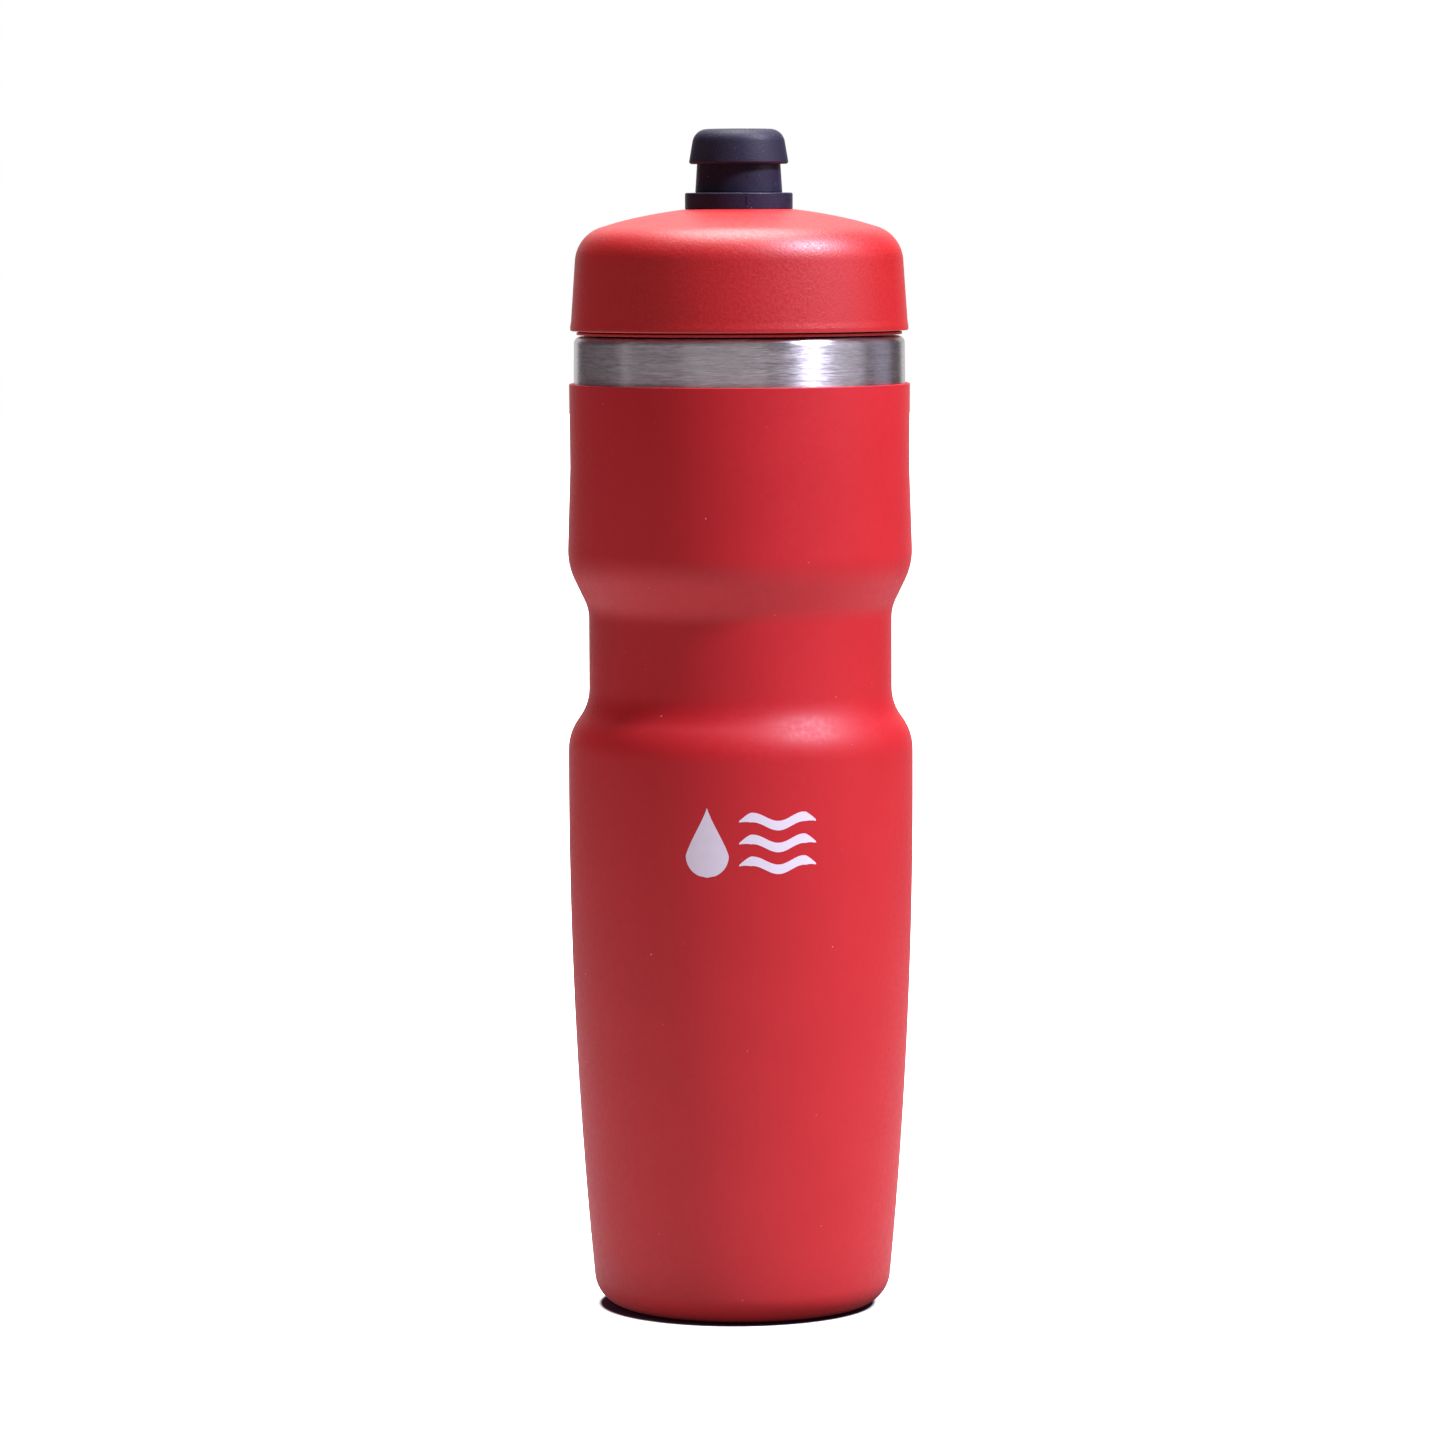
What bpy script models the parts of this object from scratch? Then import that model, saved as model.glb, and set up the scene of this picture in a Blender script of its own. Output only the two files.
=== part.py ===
"""Insulated steel cycling bottle with a screw cap and a push-pull nozzle, as separate pieces.

Sizes are in millimetres in the tables below and become metres when a mesh is made. The origin is the
centre of the base, on the surface that the bottle stands on, and +Z is the bottle's axis.
"""

import math

import bmesh
import bpy
from mathutils import Matrix, Vector

MM = 0.001
GAP = 0.3
STEEL = 0.5
WELD_DISTANCE = 1e-7
ARC_STEP = math.radians(24)

# The number of flat sides round a turned piece.
WIDE_SIDES = 28
NOZZLE_SIDES = 22
SMALL_SIDES = 14

# The body's outside, over the silicone coat: radii, heights above the base, and the round of each bend.
BODY_RADIUS = 37.0
UPPER_BODY_RADIUS = 36.95
COAT_TOP_RADIUS = 36.45
WAIST_RADIUS = 32.5
COAT_TOP = 198.6
UPPER_SHOULDER = 159.7
UPPER_SHOULDER_BEND = 14.3
WAIST_TOP = 150.45
WAIST_TOP_BEND = 9.2
WAIST_BOTTOM = 130.0
WAIST_BOTTOM_BEND = 10.6
LOWER_SHOULDER = 123.8
LOWER_SHOULDER_BEND = 11.3
TAPER_TOP = 112.5
TAPER_ARC = 1120.0
TAPER_SHARES = (0.0, 0.4, 0.75)
BASE_CORNER = 7.0
COAT_THICKNESS = 0.7
COAT_HEM_RADIUS = 22.3

# The steel shell's bare band, its shoulder and the threaded neck.
BAND_INSET = COAT_THICKNESS + GAP
BAND_TOP_RADIUS = 35.35
BAND_CORNER = 1.5
SHOULDER_TOP = 208.7
NECK_CORNER = 0.8
NECK_RADIUS = 30.0
NECK_TOP = 223.9

# The inner flask hangs from the neck inside the shell.
FLASK_INSET = 4.3
FLASK_NECK_RADIUS = 29.2
FLASK_NECK_BOTTOM = 206.5
FLASK_NECK_BEND = 3.0
FLASK_SHOULDER = 199.5
LIP_RADIUS = 30.2
LIP_TOP = 224.8
LIP_HEIGHT = 0.6
FLASK_BASE = 9.4
FLASK_CORNER = 9.0

# The base from below: a stamped cover, the welded plate with its soldered vacuum port, and the getter.
FLANGE_RADIUS = 21.0
FLANGE_TOP = 4.6
COVER_LOW = 1.3
COVER_DISH_LOW = 2.1
COVER_DISH_RADIUS = 15.0
COVER_RIM_RADIUS = 17.0
PLATE_LOW = 2.9
PORT_RADIUS = 1.0
PORT_POCKET_RADIUS = 3.4
PORT_MOUTH_RADIUS = 4.4
PORT_ROOF = 4.6
SOLDER_RADIUS = 3.0
SOLDER_LOW = 3.1
SOLDER_HIGH = 4.3
GETTER_RADIUS = 4.0
GETTER_LOW = 5.9
GETTER_HIGH = 7.6
CUP_RADIUS = 4.7
CUP_WALL = 0.4
CUP_LOW = 6.0
CUP_FOOT_RADIUS = 6.6
CUP_FOOT_HIGH = 8.8

# The screw thread between neck and cap: a right-hand ridge, two turns to undo.
THREAD_PITCH = 4.0
THREAD_HEIGHT = 1.0
THREAD_LOW = 209.7
THREAD_HIGH = 222.6
THREAD_FADE = 0.12
NECK_THREAD_START = 211.6
NECK_THREAD_TURNS = 2.0
NECK_RIDGE = ((0.00, 0.0), (0.16, 1.0), (0.32, 1.0), (0.48, 0.0))
CAP_THREAD_START = NECK_THREAD_START - THREAD_PITCH
CAP_THREAD_TURNS = 2.25
CAP_RIDGE = ((0.60, 0.0), (0.70, 1.0), (0.80, 1.0), (0.90, 0.0))

# The cap: a domed red shell round a threaded liner.
CAP_BOTTOM = 209.9
CAP_LIP_TOP = 210.4
CAP_SKIRT_BOTTOM = 212.0
CAP_CROWN = 236.35
CAP_DOME_ARC = 101.0
CAP_DOME_RADII = (18.0, 25.0)
CAP_CORNER = 8.0
CAP_CORNER_RADIUS = 34.7
CAP_SKIRT_RADIUS = 35.95
CAP_LIP_RADIUS = 36.15
CAP_WALL = 1.8
CAP_HOLE_RADIUS = 8.9
SEAL_RECESS_RADIUS = 10.9
SEAL_RECESS_FLOOR = 234.4
BOSS_RADIUS = 12.0
BOSS_BOTTOM = 228.0
BOSS_RECESS_ROOF = 229.6
LINER_BOTTOM = 209.05
LINER_FLANGE = 0.55
LINER_FLANGE_RADIUS = 34.8
LINER_STEP_RADIUS = 33.4
LINER_STEP_HEIGHT = 1.5
LINER_ROOT_RADIUS = 31.45
LINER_OUTER_RADIUS = 32.8
LINER_SHOULDER = 225.0
LINER_PLATE_RADIUS = 31.3
LINER_PLATE_BOTTOM = 226.4
LINER_PLATE_TOP = 227.7
LINER_HOLE_RADIUS = 9.2
LINER_THREAD_HEIGHT = 1.05

# The seals. Each O-ring is (node, radius of its middle, height of its middle).
GASKET_BORE = 28.4
GASKET_RADIUS = 30.9
GASKET_LOW = 225.1
GASKET_HIGH = 226.1
O_RING_SECTION = 0.45
O_RINGS = (("nozzle_seal", 9.85, 235.2), ("liner_seal", 9.85, 228.65), ("slider_seal", 7.25, 248.05))

# The nozzle's fixed base: a barrel through the cap, the ring on top, and a tube with a bead and a groove.
BARREL_RADIUS = 8.6
BARREL_BORE = 6.4
BARREL_BORE_TOP = 229.5
BARREL_BOTTOM = 221.6
RING_RADIUS = 11.5
RING_TOP = 239.2
RING_BEVEL = 0.3
TUBE_RADIUS = 6.95
TUBE_BORE = 5.4
TUBE_BORE_BOTTOM = 231.0
BEAD_RADIUS = 7.6
BEAD_BOTTOM = 246.9
GROOVE_RADIUS = 6.5
GROOVE_BOTTOM = 247.4
GROOVE_TOP = 248.7
TUBE_TOP = 249.3
NUT_RADIUS = 12.8
NUT_BODY_RADIUS = 11.6
NUT_FLAT = 10.6
NUT_TOP = 226.1
NUT_FLANGE_BOTTOM = 225.2
NUT_BOTTOM = 222.3

# The part of the nozzle that slides: a tapered neck on the tube, and the soft head moulded over it.
SLIDER_BOTTOM = RING_TOP + GAP
SLIDER_FOOT_RADIUS = 9.3
SLIDER_NECK_RADIUS = 8.9
SLIDER_NECK_TOP = 245.1
SLIDER_CORE_RADIUS = 8.4
SLIDER_BORE = BEAD_RADIUS + GAP
SLIDER_TOP = 250.2
SLIDER_HOLE_RADIUS = 3.6
RIB_RADIUS = 7.35
RIB_TOP = 240.6
HEAD_BOTTOM = 245.3
HEAD_RADIUS = 10.6
HEAD_TOP_RADIUS = 9.4
HEAD_TOP = 252.75
HEAD_CORNER = 3.2
MOUTH_RADIUS = 2.8

# The hollow post that plugs the mouth, with its spoked hub, and the straw on its lower end.
POST_RADIUS = 2.2
POST_TIP_RADIUS = 2.5
POST_TIP_BOTTOM = 250.4
POST_TOP = 252.45
POST_BORE = 1.2
POST_BORE_TOP = 248.4
AIR_PORT_LOW = 246.6
AIR_PORT_HIGH = 247.8
SPOKE_WIDTH = 1.2
HUB_WALL = 1.1
HUB_BOTTOM = 224.3
HUB_TOP = 228.3
SPIGOT_BOTTOM = 205.5
STRAW_BORE = 2.5
STRAW_RADIUS = 3.7
STRAW_TOP = 222.3
STRAW_BOTTOM = 140.0

RED_SILICONE = ((0.47, 0.030, 0.038), 0.55, 0.0)
RED_PLASTIC = ((0.52, 0.030, 0.030), 0.42, 0.0)
BRUSHED_STEEL = ((0.62, 0.60, 0.60), 0.30, 1.0)
BLACK_PLASTIC = ((0.022, 0.019, 0.028), 0.45, 0.0)
BLACK_SILICONE = ((0.026, 0.022, 0.034), 0.60, 0.0)
CLEAR_SILICONE = ((0.72, 0.72, 0.70), 0.35, 0.0)
GLASS_SOLDER = ((0.06, 0.08, 0.07), 0.15, 0.0)
GETTER_METAL = ((0.30, 0.29, 0.28), 0.60, 1.0)


def rounded(corners):
    """A polyline through the corners (r, z) or (r, z, fillet), each fillet as an arc."""
    path = []
    for i, corner in enumerate(corners):
        here = Vector(corner[:2])
        fillet = corner[2] if len(corner) > 2 else 0.0
        if not fillet:
            path.append(tuple(here))
            continue
        before = (Vector(corners[i - 1][:2]) - here).normalized()
        after = (Vector(corners[i + 1][:2]) - here).normalized()
        half = before.angle(after) / 2
        centre = here + (before + after).normalized() * (fillet / math.sin(half))
        start = here + before * (fillet / math.tan(half)) - centre
        turn = start.angle_signed(here + after * (fillet / math.tan(half)) - centre)
        steps = max(1, round(abs(turn) / ARC_STEP))
        for k in range(steps + 1):
            path.append(tuple(centre + Matrix.Rotation(-turn * k / steps, 2) @ start))
    return path


def inset(path, distance):
    """The path moved to its right by a distance, which is inward on a path that runs down the outside."""
    moved = []
    for i, point in enumerate(path):
        ahead = Vector(path[min(i + 1, len(path) - 1)]) - Vector(point)
        behind = Vector(point) - Vector(path[max(i - 1, 0)])
        sides = [Vector((d.y, -d.x)).normalized() for d in (behind, ahead) if d.length > 0]
        side = sum(sides, Vector((0.0, 0.0))).normalized()
        stretch = 1 / side.dot(sides[0])
        moved.append(tuple(Vector(point) + side * distance * stretch))
    return moved


def body_corners():
    """The corners of the body's outside, from the coat's top edge to the end of the taper."""
    corners = [
        (COAT_TOP_RADIUS, COAT_TOP),
        (UPPER_BODY_RADIUS, UPPER_SHOULDER, UPPER_SHOULDER_BEND),
        (WAIST_RADIUS, WAIST_TOP, WAIST_TOP_BEND),
        (WAIST_RADIUS, WAIST_BOTTOM, WAIST_BOTTOM_BEND),
        (BODY_RADIUS, LOWER_SHOULDER, LOWER_SHOULDER_BEND),
    ]
    return corners + [taper_point(TAPER_TOP * (1 - share)) for share in TAPER_SHARES]


def taper_point(z):
    return (BODY_RADIUS - (TAPER_TOP - z) ** 2 / (2 * TAPER_ARC), z)


def body_outline():
    """The body's outside down to the hem of the coat under the base."""
    base_radius = taper_point(0.0)[0]
    corners = body_corners() + [(base_radius, 0.0, BASE_CORNER), (COAT_HEM_RADIUS, 0.0)]
    return rounded(corners)


def flask_outline():
    """The inner flask's outside, from under its lip to the centre of its base."""
    side = [p for p in inset(rounded(body_corners()), FLASK_INSET) if p[1] > FLASK_BASE + FLASK_CORNER]
    foot_radius = taper_point(FLASK_BASE)[0] - FLASK_INSET
    neck = rounded(
        [
            (FLASK_NECK_RADIUS, LIP_TOP - LIP_HEIGHT),
            (FLASK_NECK_RADIUS, FLASK_NECK_BOTTOM, FLASK_NECK_BEND),
            (side[0][0], FLASK_SHOULDER),
        ]
    )
    foot = rounded([side[-1], (foot_radius, FLASK_BASE, FLASK_CORNER), (0.0, FLASK_BASE)])
    return neck + side[1:-1] + foot


def add_ring(mesh, radius, z, sides):
    if radius < 1e-9:
        return [mesh.verts.new((0.0, 0.0, z * MM))]
    turns = (2 * math.pi * i / sides for i in range(sides))
    return [mesh.verts.new((radius * MM * math.cos(a), radius * MM * math.sin(a), z * MM)) for a in turns]


def revolve(mesh, path, sides, closed):
    """Faces between the rings of each two points that follow each other on the path."""
    rings = [add_ring(mesh, r, z, sides) for r, z in path]
    if closed:
        rings.append(rings[0])
    for upper, lower in zip(rings, rings[1:]):
        for i in range(sides):
            j = (i + 1) % sides
            if len(upper) == 1 and len(lower) == 1:
                continue
            if len(upper) == 1:
                mesh.faces.new((upper[0], lower[i], lower[j]))
            elif len(lower) == 1:
                mesh.faces.new((upper[i], lower[0], upper[j]))
            else:
                mesh.faces.new((upper[i], lower[i], lower[j], upper[j]))


def add_thread(mesh, root, height, start, turns, ridge):
    """A wall from THREAD_LOW to THREAD_HIGH with a helical ridge, whose rows of points follow the helix."""

    def point(row, column):
        cycle, step = divmod(row, len(ridge))
        phase, rise = ridge[step]
        along = cycle + column / WIDE_SIDES
        z = start + THREAD_PITCH * (along + phase)
        fade = min(1.0, max(0.0, along / THREAD_FADE), max(0.0, (turns - along) / THREAD_FADE))
        inside = THREAD_LOW < z < THREAD_HIGH
        radius = root + height * rise * fade * inside
        angle = 2 * math.pi * column / WIDE_SIDES
        z = min(max(z, THREAD_LOW), THREAD_HIGH)
        return (round(radius * math.cos(angle), 6), round(radius * math.sin(angle), 6), round(z, 6))

    made = {}
    cycles = math.ceil((THREAD_HIGH - THREAD_LOW) / THREAD_PITCH) + 1
    for row in range(-2 * len(ridge), cycles * len(ridge)):
        for column in range(WIDE_SIDES):
            nearer = [point(row, column), point(row, column + 1)]
            corners = nearer + [point(row + 1, column + 1), point(row + 1, column)]
            distinct = list(dict.fromkeys(corners))
            if len(distinct) < 3:
                continue
            for corner in distinct:
                if corner not in made:
                    made[corner] = mesh.verts.new(Vector(corner) * MM)
            mesh.faces.new([made[corner] for corner in distinct])


def material(name, finish):
    colour, roughness, metallic = finish
    made = bpy.data.materials.new(name)
    made.use_nodes = True
    shader = made.node_tree.nodes["Principled BSDF"]
    shader.inputs["Base Color"].default_value = (*colour, 1.0)
    shader.inputs["Roughness"].default_value = roughness
    shader.inputs["Metallic"].default_value = metallic
    made.diffuse_color = (*colour, 1.0)
    return made


def solid(name, mesh, finish=None):
    """An object from a bmesh, welded, with its faces out and its round faces smooth."""
    bmesh.ops.remove_doubles(mesh, verts=mesh.verts, dist=WELD_DISTANCE)
    bmesh.ops.recalc_face_normals(mesh, faces=mesh.faces)
    data = bpy.data.meshes.new(name)
    mesh.to_mesh(data)
    mesh.free()
    data.shade_smooth()
    data.set_sharp_from_angle(angle=math.radians(35))
    made = bpy.data.objects.new(name, data)
    bpy.context.scene.collection.objects.link(made)
    if finish:
        data.materials.append(material(f"{name}_finish", finish))
    return made


def turned(name, path, finish, sides):
    """A solid of revolution. A path that starts and ends on the axis is open, any other is a loop."""
    mesh = bmesh.new()
    on_axis = path[0][0] == 0 and path[-1][0] == 0
    revolve(mesh, path, sides, closed=not on_axis)
    return solid(name, mesh, finish)


def torus(name, radius, z, section, finish, sides, section_sides=5):
    turns = [2 * math.pi * (i + 0.5) / section_sides for i in range(section_sides)]
    path = [(radius + section * math.cos(a), z + section * math.sin(a)) for a in turns]
    return turned(name, path, finish, sides)


def helper(made):
    made.hide_render = True
    made.display_type = "WIRE"
    return made


def combine(made, other, operation):
    step = made.modifiers.new(f"{operation.lower()}_{other.name}", "BOOLEAN")
    step.operation = operation
    step.solver = "EXACT"
    step.object = helper(other)


def box(name, low, high, turn=0.0):
    """A helper box between two corners, turned about the axis."""
    mesh = bmesh.new()
    size = [(b - a) * MM for a, b in zip(low, high)]
    middle = [(a + b) / 2 * MM for a, b in zip(low, high)]
    shape = Matrix.Rotation(turn, 4, "Z") @ Matrix.Translation(middle) @ Matrix.Diagonal((*size, 1.0))
    bmesh.ops.create_cube(mesh, size=1.0, matrix=shape)
    return solid(name, mesh)


# ---- the bottle body ----


def make_grip_coat():
    outside = body_outline()
    turned("grip_coat", outside + inset(outside, COAT_THICKNESS)[::-1], RED_SILICONE, WIDE_SIDES)


def make_outer_shell():
    """The neck, the shoulder, the bare band, the wall under the coat and the flange round the base plate."""
    side = inset(body_outline(), BAND_INSET)
    shoulder = rounded(
        [
            (NECK_RADIUS, THREAD_LOW),
            (NECK_RADIUS, SHOULDER_TOP, NECK_CORNER),
            (BAND_TOP_RADIUS, SHOULDER_TOP, BAND_CORNER),
            side[0],
        ]
    )
    bend = (FLANGE_RADIUS + STEEL, BAND_INSET)
    flange = [bend, (FLANGE_RADIUS, BAND_INSET + STEEL), (FLANGE_RADIUS, FLANGE_TOP)]
    wall = inset(shoulder + side[1:], STEEL)
    inner_flange = [(FLANGE_RADIUS + STEEL, FLANGE_TOP), (FLANGE_RADIUS + STEEL, BAND_INSET + 2 * STEEL)]
    neck_inside = [(NECK_RADIUS - STEEL, NECK_TOP), (NECK_RADIUS, NECK_TOP), (NECK_RADIUS, THREAD_HIGH)]
    mesh = bmesh.new()
    path = shoulder + side[1:] + flange + inner_flange + wall[::-1] + neck_inside
    revolve(mesh, path, WIDE_SIDES, closed=False)
    add_thread(mesh, NECK_RADIUS, THREAD_HEIGHT, NECK_THREAD_START, NECK_THREAD_TURNS, NECK_RIDGE)
    solid("outer_shell", mesh, BRUSHED_STEEL)


def make_inner_flask():
    outside = flask_outline()
    inside = inset(outside, STEEL)
    lip = [(FLASK_NECK_RADIUS - STEEL, LIP_TOP), (LIP_RADIUS, LIP_TOP), (LIP_RADIUS, LIP_TOP - LIP_HEIGHT)]
    turned("inner_flask", inside[:0:-1] + lip + outside, BRUSHED_STEEL, WIDE_SIDES)


def make_base_pieces():
    """The welded base plate with the pocket of its vacuum port, the solder that seals it, and the cover."""
    rim = FLANGE_RADIUS - GAP
    plate_top = PLATE_LOW + STEEL
    plate = [
        (PORT_RADIUS, PORT_ROOF),
        (PORT_POCKET_RADIUS, PORT_ROOF),
        (PORT_MOUTH_RADIUS, PLATE_LOW),
        (rim - STEEL, PLATE_LOW),
        (rim, plate_top),
        (rim, FLANGE_TOP),
        (rim - STEEL, FLANGE_TOP),
        (rim - STEEL, plate_top),
        (PORT_MOUTH_RADIUS + 0.8 * STEEL, plate_top),
        (PORT_POCKET_RADIUS + 0.6 * STEEL, PORT_ROOF + STEEL),
        (PORT_RADIUS, PORT_ROOF + STEEL),
    ]
    turned("base_plate", plate, BRUSHED_STEEL, WIDE_SIDES)
    solder_side = [(0.75 * SOLDER_RADIUS, SOLDER_LOW), (SOLDER_RADIUS, SOLDER_LOW + 2 * GAP)]
    solder_top = [(SOLDER_RADIUS - GAP, SOLDER_HIGH), (0.0, SOLDER_HIGH)]
    turned("vacuum_seal", [(0.0, SOLDER_LOW)] + solder_side + solder_top, GLASS_SOLDER, SMALL_SIDES)
    cover = [
        (0.0, COVER_DISH_LOW),
        (COVER_DISH_RADIUS, COVER_DISH_LOW),
        (COVER_RIM_RADIUS, COVER_LOW),
        (rim, COVER_LOW),
        (rim, COVER_LOW + STEEL),
        (COVER_RIM_RADIUS + GAP, COVER_LOW + STEEL),
        (COVER_DISH_RADIUS + GAP, COVER_DISH_LOW + STEEL),
        (0.0, COVER_DISH_LOW + STEEL),
    ]
    turned("base_cover", cover, BRUSHED_STEEL, WIDE_SIDES)


def make_getter():
    """The getter pellet in its spring cup, under the flask's base inside the vacuum."""
    chamfer = 0.1 * GETTER_RADIUS
    pellet = [
        (0.0, GETTER_LOW),
        (GETTER_RADIUS - chamfer, GETTER_LOW),
        (GETTER_RADIUS, GETTER_LOW + chamfer),
        (GETTER_RADIUS, GETTER_HIGH),
        (0.0, GETTER_HIGH),
    ]
    turned("getter", pellet, GETTER_METAL, SMALL_SIDES)
    roof = GETTER_HIGH + GAP
    foot = CUP_FOOT_HIGH - CUP_WALL
    cup = [
        (0.0, roof),
        (CUP_RADIUS - CUP_WALL, roof),
        (CUP_RADIUS - CUP_WALL, CUP_LOW),
        (CUP_RADIUS, CUP_LOW),
        (CUP_RADIUS, foot - CUP_WALL),
        (CUP_FOOT_RADIUS, foot),
        (CUP_FOOT_RADIUS, CUP_FOOT_HIGH),
        (CUP_RADIUS - GAP, foot),
        (0.0, foot),
    ]
    turned("getter_cup", cup, BRUSHED_STEEL, SMALL_SIDES)


# ---- the cap ----


def dome_point(radius):
    return (radius, CAP_CROWN - radius**2 / (2 * CAP_DOME_ARC))


def make_cap_shell():
    """The red shell: crowned top, soft corner, skirt with a small lip, and a boss round the nozzle's hole."""
    dome = [dome_point(r) for r in (SEAL_RECESS_RADIUS, *CAP_DOME_RADII)]
    corner = (*dome_point(CAP_CORNER_RADIUS), CAP_CORNER)
    lip = [(CAP_LIP_RADIUS, CAP_LIP_TOP), (CAP_LIP_RADIUS, CAP_BOTTOM)]
    skirt = [(CAP_SKIRT_RADIUS, CAP_SKIRT_BOTTOM), *lip]
    outside = rounded([*dome, corner, *skirt])
    inside = inset(rounded([*dome, corner, skirt[0]]), CAP_WALL)
    seat = [(CAP_HOLE_RADIUS, SEAL_RECESS_FLOOR), (SEAL_RECESS_RADIUS, SEAL_RECESS_FLOOR)]
    boss = [
        (BOSS_RADIUS, inside[0][1]),
        (BOSS_RADIUS, BOSS_BOTTOM),
        (SEAL_RECESS_RADIUS, BOSS_BOTTOM),
        (SEAL_RECESS_RADIUS, BOSS_RECESS_ROOF),
        (CAP_HOLE_RADIUS, BOSS_RECESS_ROOF),
    ]
    hem = [(inside[-1][0], CAP_BOTTOM)]
    turned("cap_shell", seat + outside + hem + inside[:0:-1] + boss, RED_PLASTIC, WIDE_SIDES)


def make_cap_liner():
    """The threaded liner, welded inside the cap shell, with the plate that presses the gasket."""
    flange_top = LINER_BOTTOM + LINER_FLANGE
    path = [
        (LINER_ROOT_RADIUS, THREAD_HIGH),
        (LINER_ROOT_RADIUS, LINER_PLATE_BOTTOM),
        (LINER_HOLE_RADIUS, LINER_PLATE_BOTTOM),
        (LINER_HOLE_RADIUS, LINER_PLATE_TOP),
        (LINER_PLATE_RADIUS, LINER_PLATE_TOP),
        (LINER_OUTER_RADIUS, LINER_SHOULDER),
        (LINER_OUTER_RADIUS, LINER_BOTTOM + LINER_STEP_HEIGHT),
        (LINER_STEP_RADIUS, flange_top),
        (LINER_FLANGE_RADIUS, flange_top),
        (LINER_FLANGE_RADIUS, LINER_BOTTOM),
        (LINER_ROOT_RADIUS, LINER_BOTTOM),
        (LINER_ROOT_RADIUS, THREAD_LOW),
    ]
    mesh = bmesh.new()
    revolve(mesh, path, WIDE_SIDES, closed=False)
    add_thread(mesh, LINER_ROOT_RADIUS, -LINER_THREAD_HEIGHT, CAP_THREAD_START, CAP_THREAD_TURNS, CAP_RIDGE)
    solid("cap_liner", mesh, RED_PLASTIC)


def make_seals():
    gasket = [
        (GASKET_BORE, GASKET_LOW),
        (GASKET_RADIUS, GASKET_LOW),
        (GASKET_RADIUS, GASKET_HIGH),
        (GASKET_BORE, GASKET_HIGH),
    ]
    turned("mouth_gasket", gasket, CLEAR_SILICONE, WIDE_SIDES)
    for name, radius, height in O_RINGS:
        torus(name, radius, height, O_RING_SECTION, BLACK_SILICONE, NOZZLE_SIDES)


# ---- the nozzle ----


def make_nozzle_base():
    """The barrel through the cap, the ring that sits on the dome, and the tube that the slider runs on."""
    ring_bottom = dome_point(RING_RADIUS)[1] + GAP
    path = [
        (BARREL_RADIUS, BARREL_BOTTOM),
        (BARREL_RADIUS, ring_bottom),
        (RING_RADIUS, ring_bottom),
        (RING_RADIUS, RING_TOP - RING_BEVEL),
        (RING_RADIUS - RING_BEVEL, RING_TOP),
        (TUBE_RADIUS, RING_TOP),
        (TUBE_RADIUS, BEAD_BOTTOM),
        (BEAD_RADIUS, BEAD_BOTTOM),
        (BEAD_RADIUS, GROOVE_BOTTOM),
        (GROOVE_RADIUS, GROOVE_BOTTOM),
        (GROOVE_RADIUS, GROOVE_TOP),
        (BEAD_RADIUS, GROOVE_TOP),
        (BEAD_RADIUS, TUBE_TOP),
        (TUBE_BORE, TUBE_TOP),
        (TUBE_BORE, TUBE_BORE_BOTTOM),
        (BARREL_BORE, BARREL_BORE_TOP),
        (BARREL_BORE, BARREL_BOTTOM),
    ]
    turned("nozzle_base", path, BLACK_PLASTIC, NOZZLE_SIDES)


def make_nozzle_nut():
    """The nut that clamps barrel, cap shell and liner together, with a flange and six flats."""
    bore = BARREL_RADIUS + GAP
    path = [
        (bore, NUT_TOP),
        (NUT_RADIUS, NUT_TOP),
        (NUT_RADIUS, NUT_FLANGE_BOTTOM),
        (NUT_BODY_RADIUS, NUT_FLANGE_BOTTOM),
        (NUT_BODY_RADIUS, NUT_BOTTOM),
        (bore, NUT_BOTTOM),
    ]
    nut = turned("nozzle_nut", path, BLACK_PLASTIC, NOZZLE_SIDES)
    low = (NUT_FLAT, -NUT_RADIUS, NUT_BOTTOM - 1.0)
    high = (NUT_RADIUS + 1.0, NUT_RADIUS, NUT_FLANGE_BOTTOM - GAP)
    for k in range(6):
        combine(nut, box(f"nut_flat_{k}", low, high, math.radians(60 * k)), "DIFFERENCE")


def make_stopper_post():
    """The hollow post that plugs the mouth, its spoked hub in the barrel, and the spigot for the straw."""
    bevel = 0.4
    path = [
        (0.0, POST_TOP),
        (POST_TIP_RADIUS - bevel, POST_TOP),
        (POST_TIP_RADIUS, POST_TOP - bevel),
        (POST_TIP_RADIUS, POST_TIP_BOTTOM),
        (POST_RADIUS, POST_TIP_BOTTOM - 2 * GAP),
        (POST_RADIUS, SPIGOT_BOTTOM),
        (POST_BORE, SPIGOT_BOTTOM),
        (POST_BORE, POST_BORE_TOP),
        (0.0, POST_BORE_TOP),
    ]
    post = turned("stopper_post", path, BLACK_PLASTIC, SMALL_SIDES)
    hub_radius = BARREL_BORE - GAP
    hub_bore = hub_radius - HUB_WALL
    hub_path = [(hub_radius, HUB_TOP), (hub_radius, HUB_BOTTOM), (hub_bore, HUB_BOTTOM), (hub_bore, HUB_TOP)]
    combine(post, turned("hub_ring", hub_path, None, NOZZLE_SIDES), "UNION")
    half = SPOKE_WIDTH / 2
    low = (POST_RADIUS - half, -half, HUB_BOTTOM + bevel)
    high = (hub_bore + half, half, HUB_TOP - bevel)
    for k in range(3):
        combine(post, box(f"spoke_{k}", low, high, math.radians(120 * k + 90)), "UNION")
    reach = POST_RADIUS + 1.0
    port = box("air_port", (-reach, -half, AIR_PORT_LOW), (reach, half, AIR_PORT_HIGH))
    combine(post, port, "DIFFERENCE")


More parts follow.
